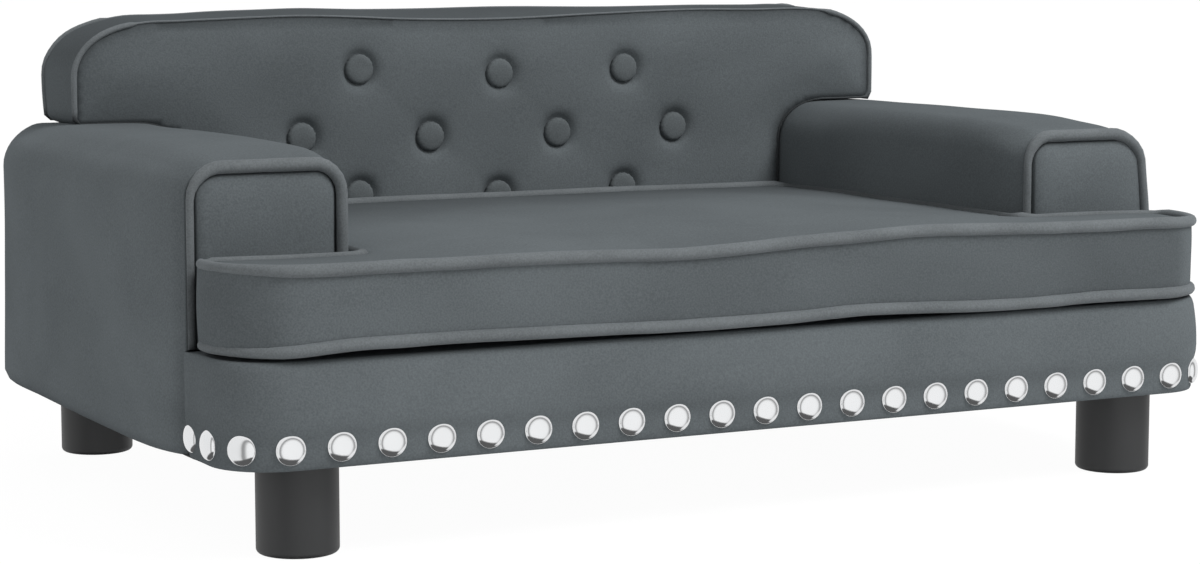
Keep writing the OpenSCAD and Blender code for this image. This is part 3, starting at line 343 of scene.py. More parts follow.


# %% [markdown]
# The other finishes: polished dome heads, feet of black plastic with a faint orange-peel skin, raw
# plywood whose layers show on the edges, black spunbonded cloth, foam, zinc-plated steel, waxed twine,
# and the zip. Flat colours could do for what is rarely seen, but a fine speckle in colour and gloss is
# what makes a hard thing look real, and one group gives it to all of them but the plywood, which has
# its own grain.

# %% Noise for the hard finishes
speckle, given, result = group_of(
    "fine_speckle",
    {"Color": grey(0.5), "Scale": 300.0, "Spread": 0.15, "Roughness": 0.5, "Roughness Spread": 0.1},
    {"Color": "NodeSocketColor", "Roughness": "NodeSocketFloat", "Height": "NodeSocketFloat"},
)
place = add(speckle, "ShaderNodeTexCoord")
dots = add(speckle, "ShaderNodeTexNoise",
           {"Vector": place.outputs["Object"], "Scale": given.outputs["Scale"], "Detail": 4.0})
drift = add(speckle, "ShaderNodeTexNoise",
            {"Vector": place.outputs["Object"], "Scale": 35.0, "Detail": 2.0})
mixed = add(speckle, "ShaderNodeMath", {0: dots.outputs["Fac"], 1: drift.outputs["Fac"]},
            operation="ADD")
centred = add(speckle, "ShaderNodeMath", {0: mixed.outputs[0], 1: -1.0}, operation="ADD")
amount = add(speckle, "ShaderNodeMath", {0: centred.outputs[0], 1: given.outputs["Spread"]},
             operation="MULTIPLY")
level = add(speckle, "ShaderNodeMath", {0: amount.outputs[0], 1: 1.0}, operation="ADD")
tint = add(speckle, "ShaderNodeVectorMath", {0: given.outputs["Color"], "Scale": level.outputs[0]},
           operation="SCALE")
rough = add(speckle, "ShaderNodeMath", {0: centred.outputs[0], 1: given.outputs["Roughness Spread"],
                                        2: given.outputs["Roughness"]}, operation="MULTIPLY_ADD")
for key, socket in (("Color", tint.outputs[0]), ("Roughness", rough.outputs[0]),
                    ("Height", dots.outputs["Fac"])):
    speckle.links.new(socket, result.inputs[key])
print("speckle group:", len(speckle.nodes), "nodes")


# %% Hard finishes
def speckled(name, colour, scale, spread, roughness, metallic=0.0, bump=0.1, depth=0.0002,
             roughness_spread=0.1):
    """A finish whose colour and gloss vary finely."""
    material, tree, out = finish(name)
    group = add(tree, "ShaderNodeGroup", node_tree=speckle)
    for key, value in (("Color", (*colour, 1)), ("Scale", scale), ("Spread", spread),
                       ("Roughness", roughness), ("Roughness Spread", roughness_spread)):
        group.inputs[key].default_value = value
    dent = add(tree, "ShaderNodeBump",
               {"Height": group.outputs["Height"], "Strength": bump, "Distance": depth})
    body = add(tree, "ShaderNodeBsdfPrincipled", {
        "Base Color": group.outputs["Color"], "Roughness": group.outputs["Roughness"],
        "Normal": dent.outputs[0], "Metallic": metallic})
    tree.links.new(body.outputs[0], out.inputs["Surface"])
    return material


CHROME = speckled("polished_chrome", (0.84, 0.85, 0.86), 60.0, 0.05, 0.13, metallic=1.0,
                  bump=0.02, roughness_spread=0.05)
FOOT = speckled("black_foot", (0.022, 0.023, 0.024), 700.0, 0.25, 0.52, bump=0.25, depth=0.0001)
CLOTH = speckled("black_cloth", (0.016, 0.016, 0.018), 1500.0, 0.6, 0.9, bump=0.5)
FOAM = speckled("seat_foam", (0.80, 0.74, 0.55), 900.0, 0.3, 0.95, bump=0.6, depth=0.0005)
ZINC = speckled("zinc_steel", (0.58, 0.59, 0.62), 200.0, 0.2, 0.35, metallic=1.0)
TWINE = speckled("waxed_twine", (0.10, 0.10, 0.10), 2500.0, 0.5, 0.8, bump=0.5)
ZIP = speckled("zip_nylon", (0.035, 0.036, 0.038), 1200.0, 0.3, 0.6, bump=0.3)
print("hard finishes:", CHROME.name, FOOT.name, CLOTH.name, FOAM.name, ZINC.name, TWINE.name, ZIP.name)


# %% [markdown]
# Plywood shows its grain on the faces and its layers on the cut edges. A picture on each board could
# show that, but the boards lie in three directions. So there is a material for each direction, and
# it tells a face from an edge by the way the surface looks.

# %% Plywood
PLY_LAYER = 2.4 * MM
PLY_FACE = ((0.46, 0.31, 0.17, 1), (0.74, 0.58, 0.38, 1))
PLY_EDGE = ((0.66, 0.50, 0.32, 1), (0.30, 0.19, 0.10, 1))


def plywood(name, across):
    """Plywood whose layers lie across one axis: 0, 1 or 2. They show only on the cut edges."""
    material, tree, out = finish(name)
    place = add(tree, "ShaderNodeTexCoord")
    axes = add(tree, "ShaderNodeSeparateXYZ", {0: place.outputs["Object"]})
    turned = add(tree, "ShaderNodeNewGeometry")
    normal = add(tree, "ShaderNodeSeparateXYZ", {0: turned.outputs["Normal"]})
    flat = add(tree, "ShaderNodeMath", {0: normal.outputs[across]}, operation="ABSOLUTE")
    long_way = [90.0, 90.0, 90.0]
    long_way[(across + 1) % 3] = 6.0
    along = add(tree, "ShaderNodeMapping",
                {"Vector": place.outputs["Object"], "Scale": tuple(long_way)})
    grain = add(tree, "ShaderNodeTexNoise", {"Vector": along.outputs[0], "Scale": 1.0, "Detail": 6.0,
                                             "Distortion": 0.8})
    face = add(tree, "ShaderNodeValToRGB", {"Fac": grain.outputs["Fac"]})
    for element, colour_there in zip(face.color_ramp.elements, PLY_FACE):
        element.color = colour_there
    layer = add(tree, "ShaderNodeMath", {0: axes.outputs[across], 1: PLY_LAYER}, operation="PINGPONG")
    dark = add(tree, "ShaderNodeMath", {0: layer.outputs[0], 1: PLY_LAYER / 2},
               operation="GREATER_THAN")
    edge = add(tree, "ShaderNodeMix", {"Factor": dark.outputs[0]}, data_type="RGBA")
    edge.inputs[6].default_value, edge.inputs[7].default_value = PLY_EDGE
    colour = add(tree, "ShaderNodeMix", {"Factor": flat.outputs[0]}, data_type="RGBA")
    tree.links.new(edge.outputs[2], colour.inputs[6])
    tree.links.new(face.outputs["Color"], colour.inputs[7])
    bump = add(tree, "ShaderNodeBump",
               {"Height": grain.outputs["Fac"], "Strength": 0.2, "Distance": 0.0003})
    wood = add(tree, "ShaderNodeBsdfPrincipled", {"Base Color": colour.outputs[2], "Roughness": 0.65,
                                                  "Normal": bump.outputs[0]})
    tree.links.new(wood.outputs[0], out.inputs["Surface"])
    return material


PLYWOODS = [plywood("plywood_" + axis, k) for k, axis in enumerate("xyz")]
print("plywoods:", [wood.name for wood in PLYWOODS])


# %% [markdown]
# The boards, the feet, the bolts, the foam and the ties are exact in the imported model. They could be
# modelled again here, but their form wouldn't change, so they stay and only get a finish.

# %% Finishes on the nodes that stay
def dress(node, material):
    """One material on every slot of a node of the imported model."""
    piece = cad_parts[node]
    if not piece.material_slots:
        piece.data.materials.append(material)
    for slot in piece.material_slots:
        slot.link = "OBJECT"
        slot.material = material


def thin_axis(node):
    """The axis along which a board is thinnest, across its layers."""
    low, high = span(node)
    return int(np.argmin(high - low))


WOODEN = [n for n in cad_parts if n.endswith(("board", "block", "batten", "post", "bearer"))]
for node in WOODEN:
    dress(node, PLYWOODS[thin_axis(node)])
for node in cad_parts:
    if node.endswith("_foot"):
        dress(node, FOOT)
dress("rail_nails", CHROME)
dress("foot_bolts", ZINC)
dress("foot_tee_nuts", ZINC)
dress("tuft_ties", TWINE)
dress("cushion_foam", FOAM)
print("plywood on", len(WOODEN), "pieces")


# %% [markdown]
# Every padded piece here is sewn the same way: two panels of velvet cut to an outline, and a strip
# between them that is called the boxing. A rounded box could stand for each, but sewn covers are
# round along a seam and sharp across it, and that is what makes them look sewn. So the helpers
# below work like the maker. An outline is a list of corners with radii, a strip is a stack of
# loops, and a panel fills a loop with small triangles whose height follows the distance from the
# seam.

# %% Outlines
def evenly(path, step, closed=True, count=None):
    """A path's points, about step apart, or as many as count."""
    if closed:
        path = np.vstack([path, path[:1]])
    run = np.r_[0.0, np.cumsum(np.linalg.norm(np.diff(path, axis=0), axis=1))]
    count = count or max(3, round(run[-1] / step))
    at = np.linspace(0.0, run[-1], count + (not closed), endpoint=not closed)
    return np.stack([np.interp(at, run, path[:, k]) for k in range(path.shape[1])], axis=1)


def rounded(corners, step):
    """A closed outline from corners (x, y, radius), as points about step apart."""
    path = []
    for k, (x, y, radius) in enumerate(corners):
        corner = np.array([x, y])
        back = np.array(corners[k - 1][:2]) - corner
        on = np.array(corners[(k + 1) % len(corners)][:2]) - corner
        back, on = back / np.linalg.norm(back), on / np.linalg.norm(on)
        half = math.acos(float(np.clip(back @ on, -1, 1))) / 2
        centre = corner + (back + on) / np.linalg.norm(back + on) * radius / math.sin(half)
        first = corner + back * radius / math.tan(half) - centre
        last = corner + on * radius / math.tan(half) - centre
        turn = math.atan2(first[0] * last[1] - first[1] * last[0], first @ last)
        for a in np.linspace(0, turn, max(2, int(abs(turn) * radius / step) + 2)):
            c, s = math.cos(a), math.sin(a)
            path.append(centre + np.array([c * first[0] - s * first[1], s * first[0] + c * first[1]]))
    return evenly(np.array(path), step)


def curve_through(chosen, at):
    """A smooth curve through chosen (place, value) points, read at other places."""
    x, y = np.array(chosen, dtype=float).T
    slope = np.gradient(y, x)
    k = np.clip(np.searchsorted(x, at) - 1, 0, len(x) - 2)
    h = x[k + 1] - x[k]
    t = np.clip((at - x[k]) / h, 0, 1)
    return (y[k] * (1 + 2 * t) * (1 - t) ** 2 + slope[k] * h * t * (1 - t) ** 2
            + y[k + 1] * t * t * (3 - 2 * t) + slope[k + 1] * h * t * t * (t - 1))


def soft(t):
    """A smooth step from 0 to 1."""
    t = np.clip(t, 0, 1)
    return t * t * (3 - 2 * t)


def uneven(u, v, size, seed):
    """Smooth unevenness between about -1 and 1, made of waves about size long."""
    dice = np.random.default_rng(seed)
    total = 0.0
    waves = 7
    for turn, phase, longer in zip(dice.uniform(0, math.pi, waves), dice.uniform(0, math.tau, waves),
                                   dice.uniform(0.7, 1.6, waves)):
        way_along = u * math.cos(turn) + v * math.sin(turn)
        total = total + np.sin(way_along * math.tau / (size * longer) + phase)
    return total / waves * 1.7


# %% Panels and strips
def from_edge(points, outline):
    """For points in a plane: distance from an outline, place along it, and whether they lie inside."""
    start, end = outline, np.roll(outline, -1, axis=0)
    along = end - start
    length = np.linalg.norm(along, axis=1)
    run = np.r_[0.0, np.cumsum(length)[:-1]]
    rel = points[:, None, :] - start[None]
    t = np.clip((rel * along).sum(2) / length ** 2, 0, 1)
    gap = np.linalg.norm(rel - t[..., None] * along, axis=2)
    nearest = gap.argmin(axis=1)
    pick = np.arange(len(points))
    below = start[None, :, 1] <= points[:, None, 1]
    crosses = below != (end[None, :, 1] <= points[:, None, 1])
    with np.errstate(divide="ignore", invalid="ignore"):
        at = start[:, 0] + (points[:, None, 1] - start[:, 1]) / along[:, 1] * along[:, 0]
    inside = (crosses & (points[:, None, 0] < at)).sum(axis=1) % 2 == 1
    return gap[pick, nearest], run[nearest] + t[pick, nearest] * length[nearest], inside


# %% A panel
def panel(loop, plane, step, height, centres=(), radii=()):
    """Fills a loop of points with triangles. plane names its two axes, and height(u, v, edge, along)
    gives the third coordinate inside, at a distance from the edge and a place along it. Round the
    centres the points lie in rings of the given radii."""
    outline = loop[:, plane]
    low, high = outline.min(axis=0), outline.max(axis=0)
    u, v = np.meshgrid(np.arange(low[0], high[0], step),
                       np.arange(low[1], high[1], step * math.sqrt(3) / 2))
    u[1::2] += step / 2
    field = np.stack([u.ravel(), v.ravel()], axis=1)
    turn = np.linspace(0, math.tau, 44, endpoint=False)
    for centre in centres:
        field = field[np.linalg.norm(field - centre, axis=1) > max(radii) + 0.7 * step]
        rings = [centre + r * np.stack([np.cos(turn + r / MM), np.sin(turn + r / MM)], axis=1)
                 for r in radii]
        field = np.vstack([field, [centre], *rings])
    edge, along, inside = from_edge(field, outline)
    kept = inside & (edge > 0.55 * step)
    field, edge, along = field[kept], edge[kept], along[kept]
    flat = [Vector(p) for p in np.vstack([outline, field])]
    corners, _, faces, *_ = geometry.delaunay_2d_cdt(flat, [], [list(range(len(outline)))], 1, 1e-9)
    assert len(corners) == len(flat), "the panel's outline crosses itself"
    third = ({0, 1, 2} - set(plane)).pop()
    inner = np.empty((len(field), 3))
    inner[:, plane] = field
    inner[:, third] = height(field[:, 0], field[:, 1], edge, along)
    return np.vstack([loop, inner]), [tuple(f) for f in faces]


# %% Strips and cords
def strip(loops, closed=True):
    """Quads between loops of as many points each."""
    count = len(loops[0])
    reach = count if closed else count - 1
    faces = [
        (i * count + k, i * count + (k + 1) % count,
         (i + 1) * count + (k + 1) % count, (i + 1) * count + k)
        for i in range(len(loops) - 1) for k in range(reach)
    ]
    return np.vstack(loops), faces


def tube(path, radius, sides=12, closed=True):
    """A round cord along a path of points. radius is one number or one for each point."""
    ahead = np.roll(path, -1, axis=0) - np.roll(path, 1, axis=0)
    if not closed:
        ahead[0], ahead[-1] = path[1] - path[0], path[-1] - path[-2]
    ahead /= np.linalg.norm(ahead, axis=1)[:, None]
    flat = np.ptp(path, axis=0).argmin()
    up = np.zeros(3)
    up[flat] = 1.0
    side = np.cross(ahead, up)
    side /= np.linalg.norm(side, axis=1)[:, None]
    over = np.cross(side, ahead)
    a = np.linspace(0, math.tau, sides, endpoint=False)
    radius = np.broadcast_to(radius, len(path))[:, None, None]
    rings = path[:, None] + radius * (np.cos(a)[None, :, None] * side[:, None]
                                      + np.sin(a)[None, :, None] * over[:, None])
    loops = list(rings) + ([rings[0]] if closed else [])
    points, faces = strip(loops)
    if not closed:
        faces += [tuple(range(sides - 1, -1, -1)), tuple(range(len(points) - sides, len(points)))]
    return points, faces


# %% Pieces
def piece(name, parts, material, body, slot, stands_for=(), welded=True, shade=None):
    """One object from (points, faces) parts, sewn together where they meet, on a CAD body."""
    points, faces, first = [], [], 0
    for part_points, part_faces in parts:
        points.append(part_points)
        faces += [tuple(i + first for i in f) for f in part_faces]
        first += len(part_points)
    mesh = bpy.data.meshes.new(name)
    mesh.from_pydata(np.vstack(points).tolist(), [], faces)
    if welded:
        shell = bmesh.new()
        shell.from_mesh(mesh)
        bmesh.ops.remove_doubles(shell, verts=shell.verts, dist=1e-6)
        bmesh.ops.recalc_face_normals(shell, faces=shell.faces)
        shell.to_mesh(mesh)
        shell.free()
    mesh.materials.append(material)
    mesh.polygons.foreach_set("use_smooth", [True] * len(mesh.polygons))
    set_shade(mesh, shade)
    made = bpy.data.objects.new(name, mesh)
    scene.collection.objects.link(made)
    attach(made, body)
    if stands_for:
        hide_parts(*stands_for)
    print(f"{name}: {len(mesh.vertices)} points, {len(mesh.polygons)} faces")
    return made


def corners_of(mesh):
    """A mesh's points as rows of x, y, z."""
    flat = np.empty(len(mesh.vertices) * 3)
    mesh.vertices.foreach_get("co", flat)
    return flat.reshape(-1, 3)


def set_shade(mesh, shade):
    """Writes the painted light and shade at each point, from shade(x, y, z) or 1: how much the velvet's
    colour is multiplied there.
    """
    at = corners_of(mesh)
    values = np.ones(len(at)) if shade is None else shade(*at.T)
    mesh.attributes.new("shade", "FLOAT", "POINT").data.foreach_set("value", values)


# %% [markdown]
# Foam pushes a cover outwards, and the seams hold it back. A short cloth simulation does just
# that: the seams are pinned, a little pressure acts from inside, and no point may move further
# than the padding allows. Every fold could be drawn by hand as well. The simulation is used for
# what is left after the drawing, and takes the stiffness out of the drawn forms.

# %% Letting the foam fill a cover
def fill_out(padded, held, pressure, reach, frames=14):
    """Lets a cover swell. held(points) says which points the seams hold."""
    start = corners_of(padded.data)
    pins = padded.vertex_groups.new(name="seams")
    pins.add(np.flatnonzero(held(start)).tolist(), 1.0, "REPLACE")
    swelling = padded.modifiers.new("swelling", "CLOTH")
    cloth = swelling.settings
    cloth.quality = 5
    cloth.mass = 0.3
    cloth.tension_stiffness = 25.0
    cloth.compression_stiffness = 25.0
    cloth.shear_stiffness = 12.0
    cloth.bending_stiffness = 3.0
    cloth.air_damping = 4.0
    cloth.vertex_group_mass = "seams"
    cloth.use_pressure = True
    cloth.uniform_pressure_force = pressure
    cloth.effector_weights.gravity = 0.0
    swelling.point_cache.frame_start = 1
    swelling.point_cache.frame_end = frames
    for step in range(1, frames + 1):
        scene.frame_set(step)
    moved = padded.evaluated_get(bpy.context.evaluated_depsgraph_get())
    shift = corners_of(moved.data) - start
    size = np.linalg.norm(shift, axis=1)[:, None]
    shift *= reach * np.tanh(size / reach) / np.maximum(size, 1e-9)
    padded.modifiers.remove(swelling)
    padded.vertex_groups.remove(pins)
    padded.data.vertices.foreach_set("co", (start + shift).ravel())
    padded.data.update()
    scene.frame_set(1)
    most_kept = np.linalg.norm(shift, axis=1).max()
    print(f"{padded.name}: swelled by up to {size.max() / MM:.1f} mm, kept {most_kept / MM:.1f} mm")


# %% [markdown]
# The seat cushion is a T: its ears reach in front of the arms. Straight seams would be simpler, but
# they would look printed, and those of the picture don't run straight. The upper one sags a little
# left of the middle and rises right of it, and the lower one lifts off the rail near the middle,
# which leaves the dark gap that the picture shows. These waves are chosen points on a smooth curve,
# and they fade towards the back.

# %% The cushion's sizes
welt_low, welt_high = span("cushion_top_welt")
lower_low, lower_high = span("cushion_bottom_welt")
arm_low, arm_high = span("right_arm_cover")
arm_welt_low, arm_welt_high = span("right_arm_welt")
WELT_R = (welt_high[2] - welt_low[2]) / 2
WELT_GAP = 0.6 * MM
top_z = (welt_low[2] + welt_high[2]) / 2
low_z = (lower_low[2] + lower_high[2]) / 2
ear_x = welt_high[0] - WELT_R
front_y = welt_low[1] + WELT_R
rear_y = welt_high[1] - WELT_R
seat_x = arm_low[0] - WELT_GAP - WELT_R
ear_y = arm_welt_low[1] - WELT_GAP - WELT_R
FRONT_R, EAR_R, NECK_R, REAR_R = 46 * MM, 10 * MM, 6 * MM, 16 * MM
# The left arm is narrower, which leaves the seat this much more room, and the right ear is longer
LEFT_SHIFT = 4 * MM
EAR_SHIFT = 2 * MM
# Along the front from left to right: x, and the seam's height over its plain line, in millimetres
TOP_WAVE = [(-345, 0.4), (-322, 0.2), (-297, -0.4), (-273, -0.7), (-237, -0.5), (-200, -0.8),
            (-163, -0.6), (-113, -1.3), (-60, -2.7), (-19, -1.5), (21, 0.6), (63, 1.8), (107, 3.3),
            (150, 2.3), (195, 0.9), (241, 0.2), (288, 0.0), (318, -1.0), (345, -2.4)]
LOW_WAVE = [(-345, 1.2), (-325, 1.0), (-305, 1.3), (-288, 2.4), (-268, 3.6), (-237, 3.7), (-200, 3.8),
            (-163, 3.2), (-113, 2.5), (-60, 1.5), (-19, 1.5), (21, 2.1), (63, 3.5), (107, 2.5),
            (150, 1.0), (195, 0.65), (241, 1.6), (288, 1.0), (345, 0.6)]
WAVE_FADE = 95 * MM
REAR_WAVE = 0.7 * MM
print("cushion seams at", np.round([ear_x, seat_x, front_y, ear_y, rear_y, low_z, top_z], 4))


def wave(chosen, x, y):
    """Height of a wavy seam above its plain line, full at the front and fading to the back."""
    fade = np.exp(-((y - front_y) / WAVE_FADE) ** 2)
    rear = REAR_WAVE * uneven(x, y, 150 * MM, 3)
    return curve_through(chosen, x / MM) * MM * fade + rear * (1 - fade)


# %% The cushion's cover
CUSHION_STEP = 6 * MM
t_outline = rounded([
    (-ear_x, front_y, FRONT_R), (ear_x + EAR_SHIFT, front_y, FRONT_R),
    (ear_x + EAR_SHIFT, ear_y, EAR_R), (seat_x, ear_y, NECK_R),
    (seat_x, rear_y, REAR_R), (-seat_x, rear_y, REAR_R),
    (-seat_x - LEFT_SHIFT, ear_y, NECK_R), (-ear_x, ear_y, EAR_R),
], CUSHION_STEP)


def outward(outline):
    """Unit normals of a closed counter-clockwise outline."""
    ahead = np.roll(outline, -1, axis=0) - np.roll(outline, 1, axis=0)
    ahead /= np.linalg.norm(ahead, axis=1)[:, None]
    return np.stack([ahead[:, 1], -ahead[:, 0]], axis=1)


# %% The cushion's boxing
BOXING_LEVELS = (0.0, 0.05, 0.12, 0.24, 0.38, 0.52, 0.66, 0.8, 0.9, 0.96, 1.0)
BOXING_BELLY = 1.1 * MM
BOXING_CREASE = 0.5 * MM
# The small gathers that the stitches leave beside a seam
PUCKER = 0.28 * MM
PUCKER_EVERY = 11 * MM


def boxing_loop(share):
    """The cushion's side at a share of its height, from the top seam down."""
    x, y = t_outline.T
    high = top_z + wave(TOP_WAVE, x, y)
    low = low_z + wave(LOW_WAVE, x, y)
    run = np.arange(len(x)) * CUSHION_STEP
    near_seam = np.exp(-min(share, 1 - share) / 0.12)
    out = BOXING_BELLY * math.sin(math.pi * share) ** 0.7
    out = out + BOXING_CREASE * uneven(run, share * 0.05, 70 * MM, 5) * math.sin(math.pi * share)
    gathers = np.sin(run * math.tau / PUCKER_EVERY + uneven(run, run, 60 * MM, 8) * 2)
    out = out + PUCKER * gathers * near_seam
    at = t_outline + outward(t_outline) * out[:, None]
    return np.column_stack([at, high + (low - high) * share])


# %% The seat and the underside
SEAT_CROWN = 5.0 * MM
SEAT_SHOULDER = 1.2 * MM
SEAT_TUCK = 1.4 * MM
SEAT_LAZY = 0.9 * MM


def cushion_top(x, y, edge, along):
    """Height of the seat: down at the welt, then a soft crown that is fuller between the arms."""
    across = 1 - np.abs(x / np.where(y > ear_y, seat_x, ear_x)) ** 3
    deep = 1 - np.abs(2 * (y - front_y) / (rear_y - front_y) - 1) ** 3
    crown = SEAT_CROWN * np.clip(across, 0, 1) * np.clip(deep, 0, 1)
    tucked = SEAT_TUCK * np.exp(-edge / (5 * MM))
    pucker = PUCKER * np.sin(along * math.tau / PUCKER_EVERY) * np.exp(-edge / (7 * MM))
    lazy = SEAT_LAZY * uneven(x, y, 130 * MM, 11) * soft(edge / (40 * MM))
    shoulder = SEAT_SHOULDER * soft(edge / (14 * MM))
    seam_z = top_z + wave(TOP_WAVE, x, y)
    return seam_z - tucked + pucker + lazy + shoulder + crown * soft(edge / (60 * MM))


OFF_DECK = 0.2 * MM


def cushion_under(x, y, edge, along):
    """The underside lies flat on the deck, and its edge rises to the lower seam."""
    rise = low_z + wave(LOW_WAVE, x, y) - lower_low[2]
    return lower_low[2] + OFF_DECK + rise * np.exp(-edge / (25 * MM))


# %% [markdown]
# Each cover carries a soft mask called shade, which the velvet multiplies in. Most of it is painted
# light and painted shade: sides painted lighter or darker than the lamp leaves them, and painted shade
# in grooves, seams and the gaps between the pieces. A material for each panel would end at a hard
# border, which the soft mask doesn't.

# %% The cushion's cover with its painted light and shade
boxing = [boxing_loop(s) for s in BOXING_LEVELS]
cushion_parts = [
    panel(boxing[0], [0, 1], CUSHION_STEP, cushion_top),
    strip(boxing),
    panel(boxing[-1], [0, 1], 2 * CUSHION_STEP, cushion_under),
]
# Painted shade: the seat darkens towards the back, where the back and the arms shade it.
PAINTED_REAR_SEAT_SHADE = 0.68
# Painted light and shade on the front boxing: how much darker it is in the middle, and how much more so
# at its right end; at its left end it is lighter
FRONT_DARKER, RIGHT_DARKER = 0.055, 0.165


def seat_painted_shade(x, y, z):
    """Painted shade: towards the back the seat is painted darker, where the back and the arms shade it.
    Painted light and shade on the front boxing: lighter on the left, darker to the right."""
    front = soft((front_y + 4 * MM - y) / (3 * MM))
    seat = 1 - (1 - PAINTED_REAR_SEAT_SHADE) * soft((y - ear_y - 90 * MM) / (150 * MM))
    return seat * (1 - (FRONT_DARKER + RIGHT_DARKER * x / ear_x) * front)


cushion = piece("seat_cushion_cover", cushion_parts, VELVET, "seat_cushion", "velvet",
                stands_for=["cushion_cover"], shade=seat_painted_shade)


# %% Filling the cushion
def on_cushion_seams(at):
    """Points on the two seams, and the whole underside."""
    edge, _, _ = from_edge(at[:, :2], t_outline)
    top = (edge < 0.6 * MM) & (np.abs(at[:, 2] - top_z - wave(TOP_WAVE, at[:, 0], at[:, 1])) < 1.5 * MM)
    low = at[:, 2] < low_z + wave(LOW_WAVE, at[:, 0], at[:, 1]) + 1.5 * MM
    return top | low


fill_out(cushion, on_cushion_seams, pressure=0.6, reach=2.5 * MM)


# %% [markdown]
# A welt is a cord in a bias-cut sleeve of the same velvet, sewn into the seam. It could be a round
# edge on the cover, but only a cord of its own leaves the fine dark lines on both of its sides. It
# is a little uneven, and each one runs right round its seam.

# %% Welts of the cushion
WELT_STEP = 5 * MM


def between_arms(x, y):
    """1 where the cushion's edge runs along an arm, 0 at its ears and along the back."""
    return soft((np.abs(x) - seat_x + 8 * MM) / (6 * MM)) * soft((y - ear_y) / (12 * MM))


def behind_ear(x, y):
    """1 where the edge of an ear runs along the front of an arm, 0 elsewhere."""
    return soft((np.abs(x) - seat_x - 2 * MM) / (8 * MM)) * soft((y - ear_y + 9 * MM) / (7 * MM))


# %% Making the welts
# Painted shade on the welt along the arms, in the gap between the cushion and the arm.
PAINTED_SHADE_ALONG_ARMS = 0.5
# How far the welt sinks along the arms, and behind an ear
ARM_SINK, EAR_SINK = 1.5 * MM, 0.5 * MM
# How much thinner it is behind an ear and round the left end, and how far it draws in there
EAR_THINNER, END_THINNER, END_DRAWN = 0.25, 0.2, 1.6 * MM


def welt_painted_shade(x, y, z):
    """Along the arms the welt is pressed in, and painted shade makes it dark."""
    return 1 - PAINTED_SHADE_ALONG_ARMS * between_arms(x, y)


def cushion_welt(name, node, height, chosen):
    """A welt right round the cushion, at one height and with the waves of its seam."""
    line = evenly(t_outline, WELT_STEP)
    run = np.arange(len(line)) * WELT_STEP
    pressed = behind_ear(line[:, 0], line[:, 1])
    left_end = soft((-line[:, 0] - ear_x + 40 * MM) / (36 * MM)) * (line[:, 1] < ear_y)
    lift = wave(chosen, line[:, 0], line[:, 1])
    lift = lift - ARM_SINK * between_arms(line[:, 0], line[:, 1]) - EAR_SINK * pressed
    line = line - outward(line) * (END_DRAWN * left_end)[:, None]
    path = np.column_stack([line, height + lift])
    plump = WELT_R * (1 - EAR_THINNER * pressed - END_THINNER * left_end)
    plump = plump * (1 + 0.035 * uneven(run, run, 45 * MM, 21))
    return piece(name, [tube(path, plump, sides=14)], PAINTED_LIGHT_WELT_VELVET, "seat_cushion", "welt_velvet",
                 stands_for=[node], shade=welt_painted_shade)


cushion_welt("cushion_upper_welt", "cushion_top_welt", top_z, TOP_WAVE)
cushion_welt("cushion_lower_welt", "cushion_bottom_welt", low_z, LOW_WAVE)


# %% [markdown]
# An arm is a long wrap of velvet over padding, closed in front by a puffed panel with a welt round
# it. A box with swollen sides would be simpler, but then the swell would begin at the seam, where
# the welt holds the velvet down. So the arm is a row of outlines along its length. They swell past
# the welt on the outer side, over the seat and on top, and the outer side rounds in again towards
# the back.

# %% The arms' sizes
ARM_WELT_R = (arm_welt_high[1] - arm_welt_low[1]) / 2
arm_y = (arm_welt_low[1] + arm_welt_high[1]) / 2
out_x = arm_welt_high[0] - ARM_WELT_R
in_x = arm_welt_low[0] + ARM_WELT_R
arm_top_z = arm_welt_high[2] - ARM_WELT_R
base_z = arm_low[2]
welt_foot_z = arm_welt_low[2]
arm_rear_y = arm_high[1]
ARM_STEP = 6 * MM
OUTER_SWELL = arm_high[0] - out_x
SEAT_SWELL = in_x - arm_low[0]
TOP_SWELL = arm_high[2] - arm_top_z
# Along the arm, from its front seam: shares of the swell outside, over the seat and on top
OUTER_SHARES = [(0, 0.2), (0.01, 0.27), (0.03, 0.45), (0.06, 0.66), (0.1, 0.83), (0.16, 0.94),
                (0.3, 1.0), (0.7, 1.0), (0.88, 0.95), (0.94, 0.76), (0.98, 0.42), (1.0, 0.1)]
SEAT_SHARES = [(0, 0.0), (0.018, 0.4), (0.045, 0.78), (0.09, 0.96), (0.16, 1.0), (1.0, 1.0)]
TOP_SHARES = [(0, 0.0), (0.018, 0.3), (0.045, 0.52), (0.09, 0.72), (0.14, 0.86), (0.21, 0.97),
              (0.33, 1.0), (0.5, 0.95), (0.7, 0.88), (0.9, 0.83), (0.96, 0.8), (1.0, 0.7)]
# Shares of the outer swell low down and at the top of the outer side, and how much less at the foot
OUTER_LEAN = (1.07, 0.90)
FOOT_TUCK = 0.2
# Radii of the top corners: both at the front seam, then the outer and the inner one behind it
ARM_CORNER_R = 17 * MM
OUTER_CORNER_R, INNER_CORNER_R = 21 * MM, 10 * MM
UNDER_RIM = 9 * MM
UNDER_LIFT = 1.0 * MM
SIDE_POINTS, UNDER_POINTS, OVER_POINTS = 24, 14, 9
print("arms from", np.round([in_x, arm_y, base_z], 4),
      "to", np.round([out_x, arm_rear_y, arm_top_z], 4))


